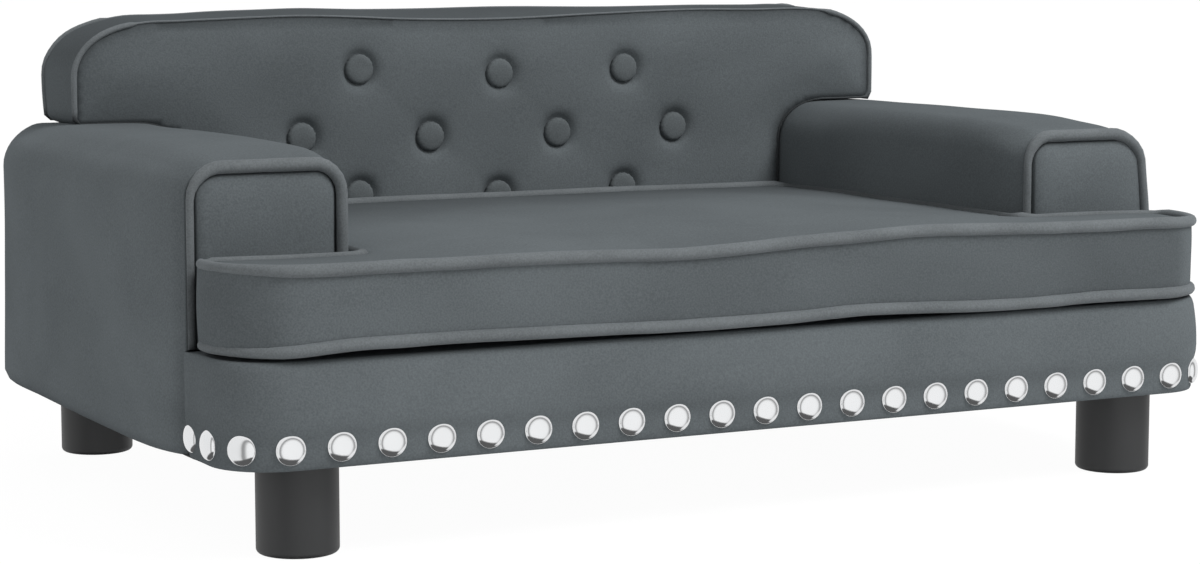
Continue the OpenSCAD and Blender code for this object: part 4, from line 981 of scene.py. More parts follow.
# %% The arm's outlines
def arm_line(share):
    """The right arm's closed outline at a share of its length, as x and z, from the outer foot up."""
    outer, seat, top = (
        swell * float(curve_through(shares, np.array([share]))[0])
        for swell, shares in ((OUTER_SWELL, OUTER_SHARES), (SEAT_SWELL, SEAT_SHARES),
                              (TOP_SWELL, TOP_SHARES))
    )
    behind, further = soft(share / 0.14), soft((share - 0.5) / 0.25)
    outer_r = ARM_CORNER_R + (OUTER_CORNER_R - ARM_CORNER_R) * behind
    inner_r = ARM_CORNER_R + (INNER_CORNER_R - ARM_CORNER_R) * (behind - further)
    rise = np.linspace(0, 1, SIDE_POINTS)
    lean = OUTER_LEAN[1] + (OUTER_LEAN[0] - OUTER_LEAN[1]) * (1 - soft(rise / 0.75))
    lean = lean - FOOT_TUCK * (1 - soft(rise / 0.04))
    outside = np.column_stack([out_x + outer * lean, base_z + (arm_top_z - outer_r - base_z) * rise])
    outer = outer * lean[-1]
    a = np.linspace(0, math.pi / 2, 11)[1:-1]
    first = np.column_stack([out_x - outer_r + (outer_r + outer) * np.cos(a),
                             arm_top_z - outer_r + (outer_r + top) * np.sin(a)])
    across = np.linspace(out_x - outer_r, in_x + inner_r, OVER_POINTS)
    over = np.column_stack([across, np.full(OVER_POINTS, arm_top_z + top)])
    second = np.column_stack([in_x + inner_r - (inner_r + seat) * np.sin(a),
                              arm_top_z - inner_r + (inner_r + top) * np.cos(a)])
    inside = np.column_stack([np.full(SIDE_POINTS, in_x - seat),
                              base_z + (arm_top_z - inner_r - base_z) * rise[::-1]])
    inside[-1, 1] += UNDER_LIFT
    below = np.linspace(in_x - seat, outside[0, 0] - UNDER_RIM, UNDER_POINTS)[1:]
    under = np.column_stack([below, np.full(UNDER_POINTS - 1, base_z + UNDER_LIFT)])
    return np.vstack([outside, first, over, second, inside, under])


# %% The wrap
ARM_LAZY = 0.5 * MM


def arm_wrap():
    """Loops of the wrap from the front seam to the rear end, closer together at both ends."""
    shares = np.r_[0, 0.006, 0.012, 0.02, 0.03, 0.042, np.linspace(0.058, 0.93, 46),
                   0.95, 0.965, 0.98, 0.99, 1.0]
    loops = []
    for share in shares:
        line = arm_line(share)
        y = arm_y + (arm_rear_y - arm_y) * share
        run = np.r_[0, np.cumsum(np.linalg.norm(np.diff(line, axis=0), axis=1))]
        middle = np.array([(out_x + in_x) / 2, (base_z + arm_top_z) / 2])
        out = line - middle
        out /= np.linalg.norm(out, axis=1)[:, None]
        lazy = ARM_LAZY * uneven(run, np.full(len(run), y), 120 * MM, 31)
        lazy = lazy * soft((share - 0.02) / 0.1)
        shown = line[:, 1] > base_z + 2 * UNDER_LIFT
        line = line + out * (lazy * shown)[:, None]
        loops.append(np.column_stack([line[:, 0], np.full(len(line), y), line[:, 1]]))
    return loops


# %% The arm's front and rear
ARM_PUFF = 3.4 * MM
ARM_GROOVE = 2.6 * MM


def arm_front(x, z, edge, along):
    """The front panel: sunk beside the welt, then puffed."""
    sunk = ARM_GROOVE * (1 - soft((edge - 2.5 * MM) / (3.5 * MM)))
    puff = ARM_PUFF * (1 - np.exp(-np.clip(edge - 3 * MM, 0, None) / (13 * MM)))
    above = soft((z - base_z - 55 * MM) / (25 * MM))
    return arm_y + sunk - puff * above + 0.3 * MM * uneven(x, z, 45 * MM, 41)


def arm_back(x, z, edge, along):
    """The rear panel, slightly full."""
    return arm_rear_y + 1.2 * MM * soft(edge / (25 * MM)) + 0.4 * MM * uneven(x, z, 80 * MM, 43)


# %% [markdown]
# The two arms aren't quite alike: the left one is narrower over the seat, and the right one leans
# in at its top. They could be modelled apart, but they share nearly everything. So one arm is made,
# turned over for the left, and each side then gets its own small change.

# %% Left and right arm
LEFT_ARM_DROP = 1.3 * MM
# How far the right arm's outer side leans in at the top: all along, and more of it in front
RIGHT_ARM_LEAN = (5 * MM, 6 * MM)


def narrowed(points):
    """The left arm was sewn a little narrower and lower: its seat side stands further out, above
    the deck and short of its rear end."""
    out = points.copy()
    seat_side = np.clip((out_x - points[:, 0]) / (out_x - in_x), 0, 1)
    above_deck = soft((points[:, 2] - welt_foot_z) / (6 * MM))
    free = above_deck * soft((arm_rear_y - points[:, 1] - 8 * MM) / (50 * MM))
    out[:, 0] += LEFT_SHIFT * seat_side * free
    behind = soft((points[:, 1] - arm_y - 10 * MM) / (80 * MM))
    out[:, 2] -= LEFT_ARM_DROP * (behind * soft((points[:, 2] - arm_top_z + 40 * MM) / (40 * MM)))
    return out


def leaning(points):
    """The right arm leans a little inwards at the top of its outer side."""
    out = points.copy()
    outer = np.clip((points[:, 0] - in_x) / (out_x - in_x), 0, 1)
    up = points[:, 2] - arm_top_z
    in_front = 1 - soft((points[:, 1] - arm_y - 15 * MM) / (60 * MM))
    at_top = np.clip((up + 20 * MM) / (20 * MM), 0, 1) ** 2
    out[:, 0] -= outer * (RIGHT_ARM_LEAN[0] * soft((up + 60 * MM) / (60 * MM))
                          + RIGHT_ARM_LEAN[1] * at_top * in_front)
    return out


def mirrored(parts, side):
    """Parts as they are on the right, or turned over to the left."""
    if side > 0:
        return [(leaning(points), faces) for points, faces in parts]
    return [(narrowed(points) * np.array([-1, 1, 1]), faces) for points, faces in parts]


# %% Painted light and shade of the arms
# Painted light and shade on the arms: the seat side, the outer side, the front panel, the groove beside
# its welt and the right arm's top
INNER_PAINTED_LIGHT = 1.03
# At the foot and at the top of the outer side
OUTER_PAINTED_LIGHT = (1.27, 1.09)
PANEL_PAINTED_LIGHT, GROOVE_PAINTED_SHADE = 1.13, 0.35
RIGHT_TOP_PAINTED_SHADE = 0.92


def arm_painted_light_and_shade(side):
    """Painted light and shade: the seat side of an arm is painted a touch lighter, and its outer side
    lighter still, most at the foot. The front panel is painted the lightest, with painted shade in the
    groove beside its welt, and the right arm's top is painted a little darker."""
    def shade(x, y, z):
        behind = soft((y - arm_y - 4 * MM) / (14 * MM))
        inner = soft((in_x + 12 * MM - side * x) / (16 * MM))
        inner = inner * soft((arm_top_z + 8 * MM - z) / (14 * MM))
        outer = soft((side * x - out_x) / (3 * MM))
        rise = np.clip((z - base_z) / (arm_top_z - base_z), 0, 1)
        top = soft((z - arm_top_z + 4 * MM) / (6 * MM)) * (side > 0)
        level = 1 - (1 - INNER_PAINTED_LIGHT) * inner - (1 - RIGHT_TOP_PAINTED_SHADE) * top
        level = level + (OUTER_PAINTED_LIGHT[0] + (OUTER_PAINTED_LIGHT[1] - OUTER_PAINTED_LIGHT[0]) * rise - 1) * outer
        proud = soft((arm_y + 1.6 * MM - y) / (2.4 * MM))
        panel_level = GROOVE_PAINTED_SHADE + (PANEL_PAINTED_LIGHT - GROOVE_PAINTED_SHADE) * proud
        return np.where(y < arm_y + 3 * MM, panel_level, 1 + (level - 1) * behind)
    return shade


# %% What the arm's seams hold
def on_arm_seams(at):
    """Points at the front and the rear seam, and along the foot."""
    edge_y = np.minimum(np.abs(at[:, 1] - arm_y), np.abs(at[:, 1] - arm_rear_y))
    return (edge_y < 2.2 * MM) | (at[:, 2] < base_z + 14 * MM)


# %% The groove beside the welt
# Distances from the front seam, in millimetres
GROOVE_LOOPS = (0, 2.5, 3.4, 4.4, 5.4)


def arm_panel(loop):
    """The front panel: loops close together across the groove beside the welt, then triangles."""
    outline = loop[:, [0, 2]]
    inwards = outward(outline)
    inwards = inwards if inwards[0, 0] < 0 else -inwards
    rings = [loop]
    for inset in GROOVE_LOOPS[1:]:
        at = outline + inwards * inset * MM
        y = arm_front(*at.T, np.full(len(at), inset * MM), None)
        rings.append(np.column_stack([at[:, 0], y, at[:, 1]]))
    inner = GROOVE_LOOPS[-1] * MM
    middle = panel(rings[-1], [0, 2], ARM_STEP,
                   lambda x, z, edge, along: arm_front(x, z, edge + inner, along))
    return [strip(rings), middle]


# %% The arms and their welts
wrap = arm_wrap()
arm_parts = arm_panel(wrap[0]) + [strip(wrap), panel(wrap[-1], [0, 2], 2 * ARM_STEP, arm_back)]
print("an arm's wrap:", len(wrap), "loops of", len(wrap[0]), "points")
quarter = np.linspace(0, math.pi / 2, 12)
corner_z = arm_top_z - ARM_CORNER_R
arm_welt_line = evenly(np.vstack([
    [[out_x, welt_foot_z]],
    [[out_x - ARM_CORNER_R + ARM_CORNER_R * math.cos(a), corner_z + ARM_CORNER_R * math.sin(a)]
     for a in quarter],
    [[in_x + ARM_CORNER_R - ARM_CORNER_R * math.sin(a), corner_z + ARM_CORNER_R * math.cos(a)]
     for a in quarter],
    [[in_x, welt_foot_z]],
]), WELT_STEP, closed=False)
# Down the outer and the seat side: how much thinner the welt is, and how many millimetres outwards
LEGS = {"right": ((0.2, 0.35), (1.3, 1.4)), "left": ((0.45, 0.15), (2.3, 0.5))}
# Painted shade on the welt's legs beside the cushion
WELT_FOOT_PAINTED_SHADE = 0.55


def arm_welt_painted_shade(x, y, z):
    """Painted shade: beside the cushion the welt lies deep, and is painted dark."""
    return WELT_FOOT_PAINTED_SHADE + (1 - WELT_FOOT_PAINTED_SHADE) * soft((z - top_z + 14 * MM) / (12 * MM))


for side, word in ((1, "right"), (-1, "left")):
    arm = piece(word + "_arm", mirrored(arm_parts, side), VELVET, "sofa", "velvet",
                stands_for=[word + "_arm_cover"], shade=arm_painted_light_and_shade(side))
    fill_out(arm, on_arm_seams, pressure=0.4, reach=1.5 * MM)
    path = np.column_stack([arm_welt_line[:, 0], np.full(len(arm_welt_line), arm_y),
                            arm_welt_line[:, 1]])
    path = mirrored([(path, ())], side)[0][0]
    run = np.arange(len(path)) * WELT_STEP
    down = soft((arm_top_z + 6 * MM - path[:, 2]) / (26 * MM))
    outer_leg, inner_leg = (down * (sign * side * path[:, 0] > sign * (out_x + in_x) / 2)
                            for sign in (1, -1))
    thinner, further = LEGS[word]
    plump = ARM_WELT_R * (1 - thinner[0] * outer_leg - thinner[1] * inner_leg)
    plump = plump * (1 + 0.03 * uneven(run, run * side, 50 * MM, 51))
    path[:, 0] += side * MM * (further[0] * outer_leg - further[1] * inner_leg)
    piece(word + "_arm_front_welt", [tube(path, plump, sides=14, closed=False)], PAINTED_LIGHT_WELT_VELVET, "sofa",
          "welt_velvet", stands_for=[word + "_arm_welt"], shade=arm_welt_painted_shade)


# %% [markdown]
# The back is a T as well: a stem between the arms and wings that lie over them. Its front panel is
# tufted: ten covered buttons pull the velvet in, and it rises again between them. The hollows could
# be carved one by one. Here their depth follows the distance from the nearest button, so all ten
# are alike, and a moved button takes its hollow along. The cloth simulation holds the seam and the
# velvet under each button, and the foam does the rest.

# %% The back's sizes
_, back_high = span("back_cover")
piping_low, piping_high = span("back_front_piping")
rear_low, rear_high = span("back_rear_piping")
_, buttons_high = span("tuft_buttons")
PIPING_R, PIPING_SHOWN_R = 2.5 * MM, 1.9 * MM
back_front_y = (piping_low[1] + piping_high[1]) / 2
back_rear_y = (rear_low[1] + rear_high[1]) / 2
wing_x = piping_high[0] - PIPING_R
back_top_z = rear_high[2] - PIPING_R
back_front_top_z = piping_high[2] - PIPING_R
STEM_GAP = 1 * MM
stem_x = arm_low[0] - STEM_GAP - PIPING_R
WING_GAP = 1.5 * MM
wing_z = arm_high[2] - 2 * MM + WING_GAP + PIPING_R
WING_R = 3 * MM
# On the right and on the left: where the wing's lower edge lies, and how wide and how high the
# curve of its top corner is
WINGS_Z = (wing_z - 0.4 * MM, wing_z - 3.5 * MM)
TOP_CORNERS = ((52.5 * MM, 32.5 * MM), (62 * MM, 38 * MM))
WING_BELLY = 1.4 * MM
# The length of the outline, from which every loop gets the same number of points
BACK_ROUND = 1.56
# Over the top from left to right: x, and how far the front and the rear seam run above their plain
# line, in millimetres
FRONT_DRIFT = [(-345, 0.0), (-290, 0.0), (-268, -1.6), (-245, -2.4), (-220, -1.7), (-185, -0.6),
               (-149, 0.1), (-112, -0.9), (-75, -2.7), (1, -3.5), (80, -0.7), (162, 1.4), (204, 0.9),
               (247, 1.2), (269, 0.4), (290, 0.3), (345, 0.3)]
REAR_DRIFT = [(-345, 0.3), (-306, 0.3), (-299, 0.8), (-290, 0.2), (-276, -1.0), (-262, -1.2),
              (-248, -0.9), (-234, -0.9), (-216, -0.5), (-198, 0.5), (-161, 1.5), (-124, 2.2),
              (-86, 1.2), (-48, 1.1), (31, 2.0), (113, 1.1), (198, 1.6), (241, 1.4), (285, 2.6),
              (345, 2.6)]
# The wings turn into the stem round the arm's inner top corner, in a wider curve than its own
NECK_WIDER = 12 * MM
neck_x, neck_z = in_x + ARM_CORNER_R + NECK_WIDER, arm_top_z - ARM_CORNER_R
# %% The tufting's sizes
BACK_SWELL = 4 * MM
REAR_SWELL = back_high[1] - back_rear_y
BACK_STEP = 5 * MM
BUTTON_D, BUTTON_H = 20.6 * MM, 4.4 * MM
TUFT_TOP_Z, TUFT_ROW = buttons_high[2] - 11 * MM, 42.5 * MM
# Each row's buttons from the left: x, and how far each one sits above its row, in millimetres
TUFT_ROWS = [
    [(-106.3, 2.3), (0.0, -2.6), (98.8, -0.9)],
    [(-149.0, -1.0), (-53.4, -2.8), (45.3, -2.7), (139.3, -1.3)],
    [(-107.0, 0.6), (-1.2, -3.3), (98.0, -1.4)],
]
TUFTS = np.array([(x * MM, TUFT_TOP_Z - row * TUFT_ROW + up * MM)
                  for row, places in enumerate(TUFT_ROWS) for x, up in places])
TUFT_DEPTH = 5 * MM
# Round a button: distance from its middle in millimetres, and the share of the depth there
TUFT_PROFILE = [(0, 1.0), (9, 1.0), (10.4, 0.97), (11.2, 0.87), (12.2, 0.70), (13.4, 0.52),
                (15, 0.34), (17, 0.2), (20, 0.11), (25, 0.05), (32, 0.0), (400, 0.0)]
print("buttons at", np.round(TUFTS / MM).tolist())


# %% The back's outline
def back_outline(share, step=BACK_STEP):
    """The back's closed outline as x and z, counter-clockwise seen from the front, at a share of
    the depth from its front seam to its rear one."""
    def arc(cx, cz, rx, rz, start, stop, count=14):
        a = np.radians(np.linspace(start, stop, count))
        return np.column_stack([cx + rx * np.cos(a), cz + rz * np.sin(a)])

    top = back_front_top_z + (back_top_z - back_front_top_z) * share
    halves = []
    for side, corner, low in zip((1, -1), TOP_CORNERS, WINGS_Z):
        half = np.vstack([
            [[stem_x, base_z]],
            arc(neck_x, neck_z, neck_x - stem_x, low - neck_z, 180, 90),
            arc(wing_x - WING_R, low + WING_R, WING_R, WING_R, -90, 0),
            arc(wing_x - corner[0], top - corner[1], *corner, 0, 90),
        ])
        halves.append(half * np.array([side, 1]))
    line = evenly(np.vstack([halves[0], halves[1][::-1]]), step, count=round(BACK_ROUND / step))
    in_front = curve_through(FRONT_DRIFT, line[:, 0] / MM)
    behind = curve_through(REAR_DRIFT, line[:, 0] / MM)
    drift = in_front * (1 - share) + behind * share
    line[:, 1] += drift * MM * soft((line[:, 1] - top + 50 * MM) / (40 * MM))
    left = (line[:, 0] < -wing_x + 12 * MM) & (line[:, 1] > wing_z)
    up_the_end = np.clip((line[:, 1] - wing_z) / (48 * MM), 0, 1)
    line[:, 0] -= WING_BELLY * share * left * np.sin(math.pi * up_the_end)
    return line


# %% The back's boxing
BACK_BELLY, BACK_CREASE = 0.8 * MM, 0.35 * MM


def back_boxing(share):
    """The strip between the two seams, at a share of the depth from front to rear."""
    line = back_outline(share)
    run = np.arange(len(line)) * BACK_STEP
    belly = BACK_BELLY * math.sin(math.pi * share)
    crease = BACK_CREASE * uneven(run, np.full(len(run), share * 0.02), 32 * MM, 61)
    crease = crease * math.sin(math.pi * share)
    shown = line[:, 1] > wing_z - 6 * MM
    at = line + outward(line) * ((belly + crease) * shown)[:, None]
    y = back_front_y + (back_rear_y - back_front_y) * share
    return np.column_stack([at[:, 0], np.full(len(at), y), at[:, 1]])


# %% Hollows and folds
def tuft_dips(x, z):
    """Depth of the tufting: a tight hollow round each button."""
    dip = np.zeros_like(x)
    for bx, bz in TUFTS:
        away = np.hypot(x - bx, z - bz)
        dip = np.maximum(dip, np.clip(curve_through(TUFT_PROFILE, away / MM), 0, 1))
    return dip


def pulls(x, z):
    """Faint folds that run from button to button, down the diagonals of the pattern."""
    fold = np.zeros_like(x)
    for i, a in enumerate(TUFTS):
        for b in TUFTS[i + 1:]:
            along = b - a
            next_row = 0.6 * TUFT_ROW < abs(along[1]) < 1.4 * TUFT_ROW
            if not next_row or abs(along[0]) > 1.6 * TUFT_ROW:
                continue
            length = np.linalg.norm(along)
            rel = np.stack([x, z], axis=-1) - a
            t = rel @ along / length ** 2
            off = np.abs(rel[..., 0] * along[1] - rel[..., 1] * along[0]) / length
            fold = np.maximum(fold, np.exp(-(off / (5 * MM)) ** 2) * soft(t / 0.1) * soft((1 - t) / 0.1)
                              * (0.45 + 0.55 * np.abs(2 * t - 1)))
    return fold


# %% The back's panels
BACK_TUCK, BACK_LAZY, FOLD_DEPTH = 1.6 * MM, 0.7 * MM, 0.5 * MM


def back_front(x, z, edge, along):
    """The tufted front panel: its swell, its hollows and the faint folds between them."""
    swell = BACK_SWELL * soft(edge / (34 * MM)) - BACK_TUCK * np.exp(-edge / (4 * MM))
    lazy = BACK_LAZY * uneven(x, z, 110 * MM, 63) * soft(edge / (30 * MM))
    pucker = PUCKER * np.sin(along * math.tau / PUCKER_EVERY) * np.exp(-edge / (7 * MM))
    plain = back_front_y - swell - lazy - pucker
    return plain + TUFT_DEPTH * tuft_dips(x, z) + FOLD_DEPTH * pulls(x, z)


def back_rear(x, z, edge, along):
    """The plain panel behind, taut over the frame, fuller towards the wings."""
    crown = REAR_SWELL * soft((edge - 2 * MM) / (70 * MM)) - 1.2 * MM * np.exp(-edge / (4 * MM))
    hem = soft((z - base_z) / (20 * MM))
    return back_rear_y + crown * (0.75 + 0.25 * hem) + 0.6 * MM * uneven(x, z, 140 * MM, 65)


# %% What the back's seams hold
def on_back_seams(at):
    """Points that hold: both seams, the boxing, and the velvet under the buttons."""
    front = at[:, 1] < back_front_y + 12 * MM
    edge, _, _ = from_edge(at[:, [0, 2]], back_outline(0.0))
    from_buttons = np.hypot(at[:, 0, None] - TUFTS[:, 0], at[:, 2, None] - TUFTS[:, 1])
    return ~front | (edge < 2 * MM) | (from_buttons < 14 * MM).any(axis=1)


# %% The back's loops, and its painted light and shade
back_loops = [back_boxing(s) for s in (0.0, 0.05, 0.14, 0.3, 0.5, 0.7, 0.86, 0.95, 1.0)]
# The boxing's shade at the ends of the wings, and how many times more it darkens along the top
BOXING_SHADE, TOP_DARKER = 0.95, 7
# Painted light on the front panel: how much lighter it is everywhere, at its right end, and low on the
# stem; towards its left end it is darker
FRONT_LIGHTER, RIGHT_LIGHTER, STEM_LIGHTER = 0.02, 0.09, 0.11
# Painted shade: the dark line in the front seam, beside the piping
SEAM_PAINTED_SHADE, SEAM_REACH = 0.5, 4.5 * MM


def back_shade(x, y, z):
    """The boxing is darker than the panels, most along the top. Painted light makes the front panel a
    little lighter on the right and below, and darker on the left, and painted shade darkens the front
    seam beside the piping."""
    boxing = soft((y - back_front_y) / (5 * MM)) * soft((back_rear_y + 1 * MM - y) / (5 * MM))
    boxing = boxing * (1 + TOP_DARKER * soft((z - back_top_z + 45 * MM) / (40 * MM)))
    on_front = soft((back_front_y + 1 * MM - y) / (2 * MM))
    front = on_front * (FRONT_LIGHTER + RIGHT_LIGHTER * x / wing_x
                        + STEM_LIGHTER * soft((wing_z - z) / (50 * MM)))
    edge, _, _ = from_edge(np.column_stack([x, z]), back_outline(0.0))
    seam = np.exp(-(edge / SEAM_REACH) ** 2) * (np.abs(y - back_front_y) < 1.5 * MM)
    return (1 + front - (1 - BOXING_SHADE) * boxing) * (1 - SEAM_PAINTED_SHADE * seam)


# %% The tufted back
TUFT_RINGS = [r * MM for r in (5.5, 8.5, 10.2, 11.2, 12.0, 12.8, 13.6, 14.6, 16, 18, 20.5)]
back_parts = [
    panel(back_loops[0], [0, 2], BACK_STEP, back_front, TUFTS, TUFT_RINGS),
    strip(back_loops),
    panel(back_loops[-1], [0, 2], 2 * BACK_STEP, back_rear),
]
back = piece("tufted_back", back_parts, VELVET, "sofa", "velvet", stands_for=["back_cover"],
             shade=back_shade)
fill_out(back, on_back_seams, pressure=1.2, reach=2.5 * MM)


# %% [markdown]
# Both seams of the back have a thinner cord, which makers call piping. It could run evenly round the
# whole back, but between the arms it would be squeezed flat, so there it is thin, and painted dark as
# the shade between the back and the arms. It ends at the foot of the back.

# %% Pipings of the back
PIPING_SUNK = 0.4
# Painted shade on the piping under the wings
PIPING_FOOT_PAINTED_SHADE = 0.25


def piping_painted_shade(x, y, z):
    """Painted shade: under the wings the piping lies in the dark between the back and the arms."""
    return PIPING_FOOT_PAINTED_SHADE + (1 - PIPING_FOOT_PAINTED_SHADE) * soft((z - wing_z + 1 * MM) / (3 * MM))


def back_piping(name, node, y, share, foot):
    """A piping along one seam, from foot to foot over the top."""
    line = back_outline(share, WELT_STEP)
    start = int(np.argmax(line[:, 1] < base_z + MM))
    line = np.roll(line, -start, axis=0)
    line = line[line[:, 1] > foot]
    gap = int(np.argmax(np.linalg.norm(np.diff(line, axis=0), axis=1)))
    if np.linalg.norm(line[gap + 1] - line[gap]) > 3 * WELT_STEP:
        line = np.roll(line, -(gap + 1), axis=0)
    run = np.arange(len(line)) * WELT_STEP
    full = soft((line[:, 1] - wing_z + 3 * MM) / (3 * MM))
    at_end = (np.abs(line[:, 0]) - wing_x + 6 * MM) / (4 * MM)
    full = full * soft(at_end + 9 * soft((line[:, 1] - wing_z) / (30 * MM)))
    path = np.column_stack([line[:, 0], np.full(len(line), y), line[:, 1]])
    plump = PIPING_SHOWN_R * (PIPING_SUNK + (1 - PIPING_SUNK) * full)
    plump = plump * (1 + 0.05 * uneven(run, run, 40 * MM, 71))
    return piece(name, [tube(path, plump, sides=12, closed=False)], PAINTED_LIGHT_WELT_VELVET, "sofa",
                 "welt_velvet", stands_for=[node], shade=piping_painted_shade)


back_piping("back_front_seam_piping", "back_front_piping", back_front_y, 0.0, piping_low[2] + 2 * MM)
back_piping("back_rear_seam_piping", "back_rear_piping", back_rear_y, 1.0, base_z + 2 * MM)


# %% [markdown]
# Each button is a dome of metal in a disc of velvet, gathered behind. A flattened ball would do from
# far off. Rings on a profile of its own cost no more, and they show what a covered button has: a
# smooth dome, and small pleats where the velvet turns under at the rim.

# %% Buttons
BUTTON_SIDES = 48
# From the middle to under the rim: share of the radius, and share of the height
BUTTON_PROFILE = [(0.16, 1.0), (0.34, 0.99), (0.52, 0.96), (0.66, 0.92), (0.78, 0.86), (0.87, 0.77),
                  (0.94, 0.63), (0.985, 0.42), (1.0, 0.15), (0.98, -0.1), (0.88, -0.25)]
PLEATS, PLEAT_DEPTH = 17, 0.022


def button(x, z, seed):
    """A covered button: rings from the middle of its dome to under its rim."""
    turn = np.linspace(0, math.tau, BUTTON_SIDES, endpoint=False)
    seat = back_front_y - BACK_SWELL + TUFT_DEPTH
    loops = []
    for radius, height in BUTTON_PROFILE:
        pleat = PLEAT_DEPTH * np.sin(turn * PLEATS + seed) * soft((radius - 0.7) / 0.3)
        r = BUTTON_D / 2 * (radius + pleat)
        y = seat - BUTTON_H * height
        loops.append(np.column_stack([x + r * np.cos(turn), np.full(len(turn), y),
                                      z + r * np.sin(turn)]))
    points, faces = strip(loops)
    cap = len(points)
    points = np.vstack([points, [[x, seat - BUTTON_H * 1.01, z]]])
    return points, faces + [(k, cap, (k + 1) % len(turn)) for k in range(len(turn))]


piece("covered_buttons", [button(x, z, k) for k, (x, z) in enumerate(TUFTS)], BUTTON_VELVET, "sofa",
      "button_velvet", stands_for=["tuft_buttons"])

# %% [markdown]
# The front rail is padded in its upper part and drawn tight over the board below, where the nails
# go in. Seen from above its ends are round, and they meet the arms. A board with a half round along
# it would need mitres at the corners. One profile led round the outline turns them as the velvet
# does.

# %% The front rail
rail_low, rail_high = span("front_rail_cover")
nails_low, nails_high = span("rail_nails")
RAIL_SWELL = 3.0 * MM
RAIL_CORNER_R = 38 * MM
rail_x = rail_high[0] - RAIL_SWELL
rail_y = rail_low[1] + RAIL_SWELL
rail_rear_y = rail_high[1]
rail_h = rail_high[2] - rail_low[2]
nail_z = (nails_low[2] + nails_high[2]) / 2
NAIL_PITCH = 30.2 * MM
NAIL_START = -1.5 * MM
RAIL_STEP = 5 * MM
RAIL_LAZY, RAIL_PINCH = 0.45 * MM, 0.5 * MM
# Painted light: the rail's velvet is painted a little lighter all over.
RAIL_PAINTED_LIGHT = 1.06
# From the top edge down: share of the height, then how far the velvet stands out, in swells
RAIL_FORM = [(0.985, -2.6), (1.0, -1.7), (0.99, -0.9), (0.96, -0.3), (0.91, 0.15), (0.84, 0.45),
             (0.75, 0.75), (0.66, 0.94), (0.57, 1.0), (0.48, 1.0), (0.41, 0.9), (0.35, 0.66),
             (0.30, 0.32), (0.25, 0.08), (0.20, 0.0), (0.13, 0.0), (0.07, -0.03), (0.025, -0.12),
             (0.0, -0.5), (0.004, -2.0)]
rail_line = rounded([(-rail_x, rail_rear_y, 1 * MM), (-rail_x, rail_y, RAIL_CORNER_R),
                     (rail_x, rail_y, RAIL_CORNER_R), (rail_x, rail_rear_y, 1 * MM)], RAIL_STEP)
front_middle = int(np.argmin(np.abs(rail_line[:, 0]) + 10 * (rail_line[:, 1] - rail_y)))
rail_round = len(rail_line) * RAIL_STEP
rail_run = (np.arange(len(rail_line)) - front_middle) * RAIL_STEP
rail_run = np.where(rail_run > rail_round / 2, rail_run - rail_round, rail_run)


# %% The rail's loops
def rail_loop(height, swell):
    """The rail's outline at one height, drawn in a little round every nail."""
    z = rail_low[2] + rail_h * height
    facing = outward(rail_line)
    at_rear = facing[:, 1] > 0.7
    fade = soft((rail_rear_y - rail_line[:, 1]) / (26 * MM))
    swell = swell * fade + soft(height / 0.15) * (1 - fade)
    swell = swell * (1 - 0.35 * np.abs(facing[:, 0]) * fade)
    lazy = RAIL_LAZY * uneven(rail_run, np.full(len(rail_run), z), 75 * MM, 81)
    lazy = lazy * soft((height - 0.25) / 0.2)
    phase = ((rail_run - NAIL_START) / NAIL_PITCH + 0.5) % 1.0 - 0.5
    from_nail = (phase * NAIL_PITCH) ** 2 + (z - nail_z) ** 2
    pinched = RAIL_PINCH * np.exp(-from_nail / (11 * MM) ** 2)
    out = RAIL_SWELL * swell + lazy - pinched * (0.02 < height < 0.6)
    at = rail_line + facing * np.where(at_rear, 0.0, out)[:, None]
    return np.column_stack([at, np.full(len(at), z)])


rail_loops = [rail_loop(h, s) for h, s in RAIL_FORM]
print("the rail:", len(rail_loops), "loops of", len(rail_line), "points")
rail_top = rail_loops[0][0, 2]


# %% The rail's cover
def rail_lid(x, y, edge, along):
    """The top, under the cushion."""
    return rail_top - 0.3 * MM * soft(edge / (10 * MM)) + 0 * x


def rail_under(x, y, edge, along):
    """The bottom, which lies a little higher than its edge."""
    return rail_low[2] + UNDER_LIFT * soft((edge - 4 * MM) / (5 * MM)) + 0.3 * MM


rail_parts = [
    panel(rail_loops[0], [0, 1], 2 * RAIL_STEP, rail_lid),
    strip(rail_loops),
    panel(rail_loops[-1], [0, 1], 2 * RAIL_STEP, rail_under),
]
rail = piece("padded_front_rail", rail_parts, VELVET, "sofa", "velvet", stands_for=["front_rail_cover"],
             shade=lambda x, y, z: RAIL_PAINTED_LIGHT + 0 * x)


# %% [markdown]
# The nails are shallow domes. They could be slices of a ball, but those end steeply at the rim, and
# the mirrored studio shows it at once. Half ellipses come down to the velvet as pressed heads do.
# The nails were driven in by eye: the row starts a little left of the middle, and round the corners
# they stand closer.

# %% The nails
NAIL_D, NAIL_H = 17 * MM, 4 * MM
NAILS_A_SIDE = 13
CLOSER_FROM, CLOSER = 305 * MM, 0.09
NAIL_SIDES, NAIL_RINGS = 40, 16


def on_rail(run):
    """A place on the rail's plain outline at a distance from its middle, and the way out there: x, y,
    out x, out y."""
    side, run = math.copysign(1, run), abs(run)
    straight, bend = rail_x - RAIL_CORNER_R, RAIL_CORNER_R * math.pi / 2
    if run < straight:
        return side * run, rail_y, 0.0, -1.0
    a = min((run - straight) / RAIL_CORNER_R, math.pi / 2)
    further = max(0.0, run - straight - bend)
    return (side * (straight + RAIL_CORNER_R * math.sin(a)),
            rail_y + RAIL_CORNER_R * (1 - math.cos(a)) + further, side * math.sin(a), -math.cos(a))


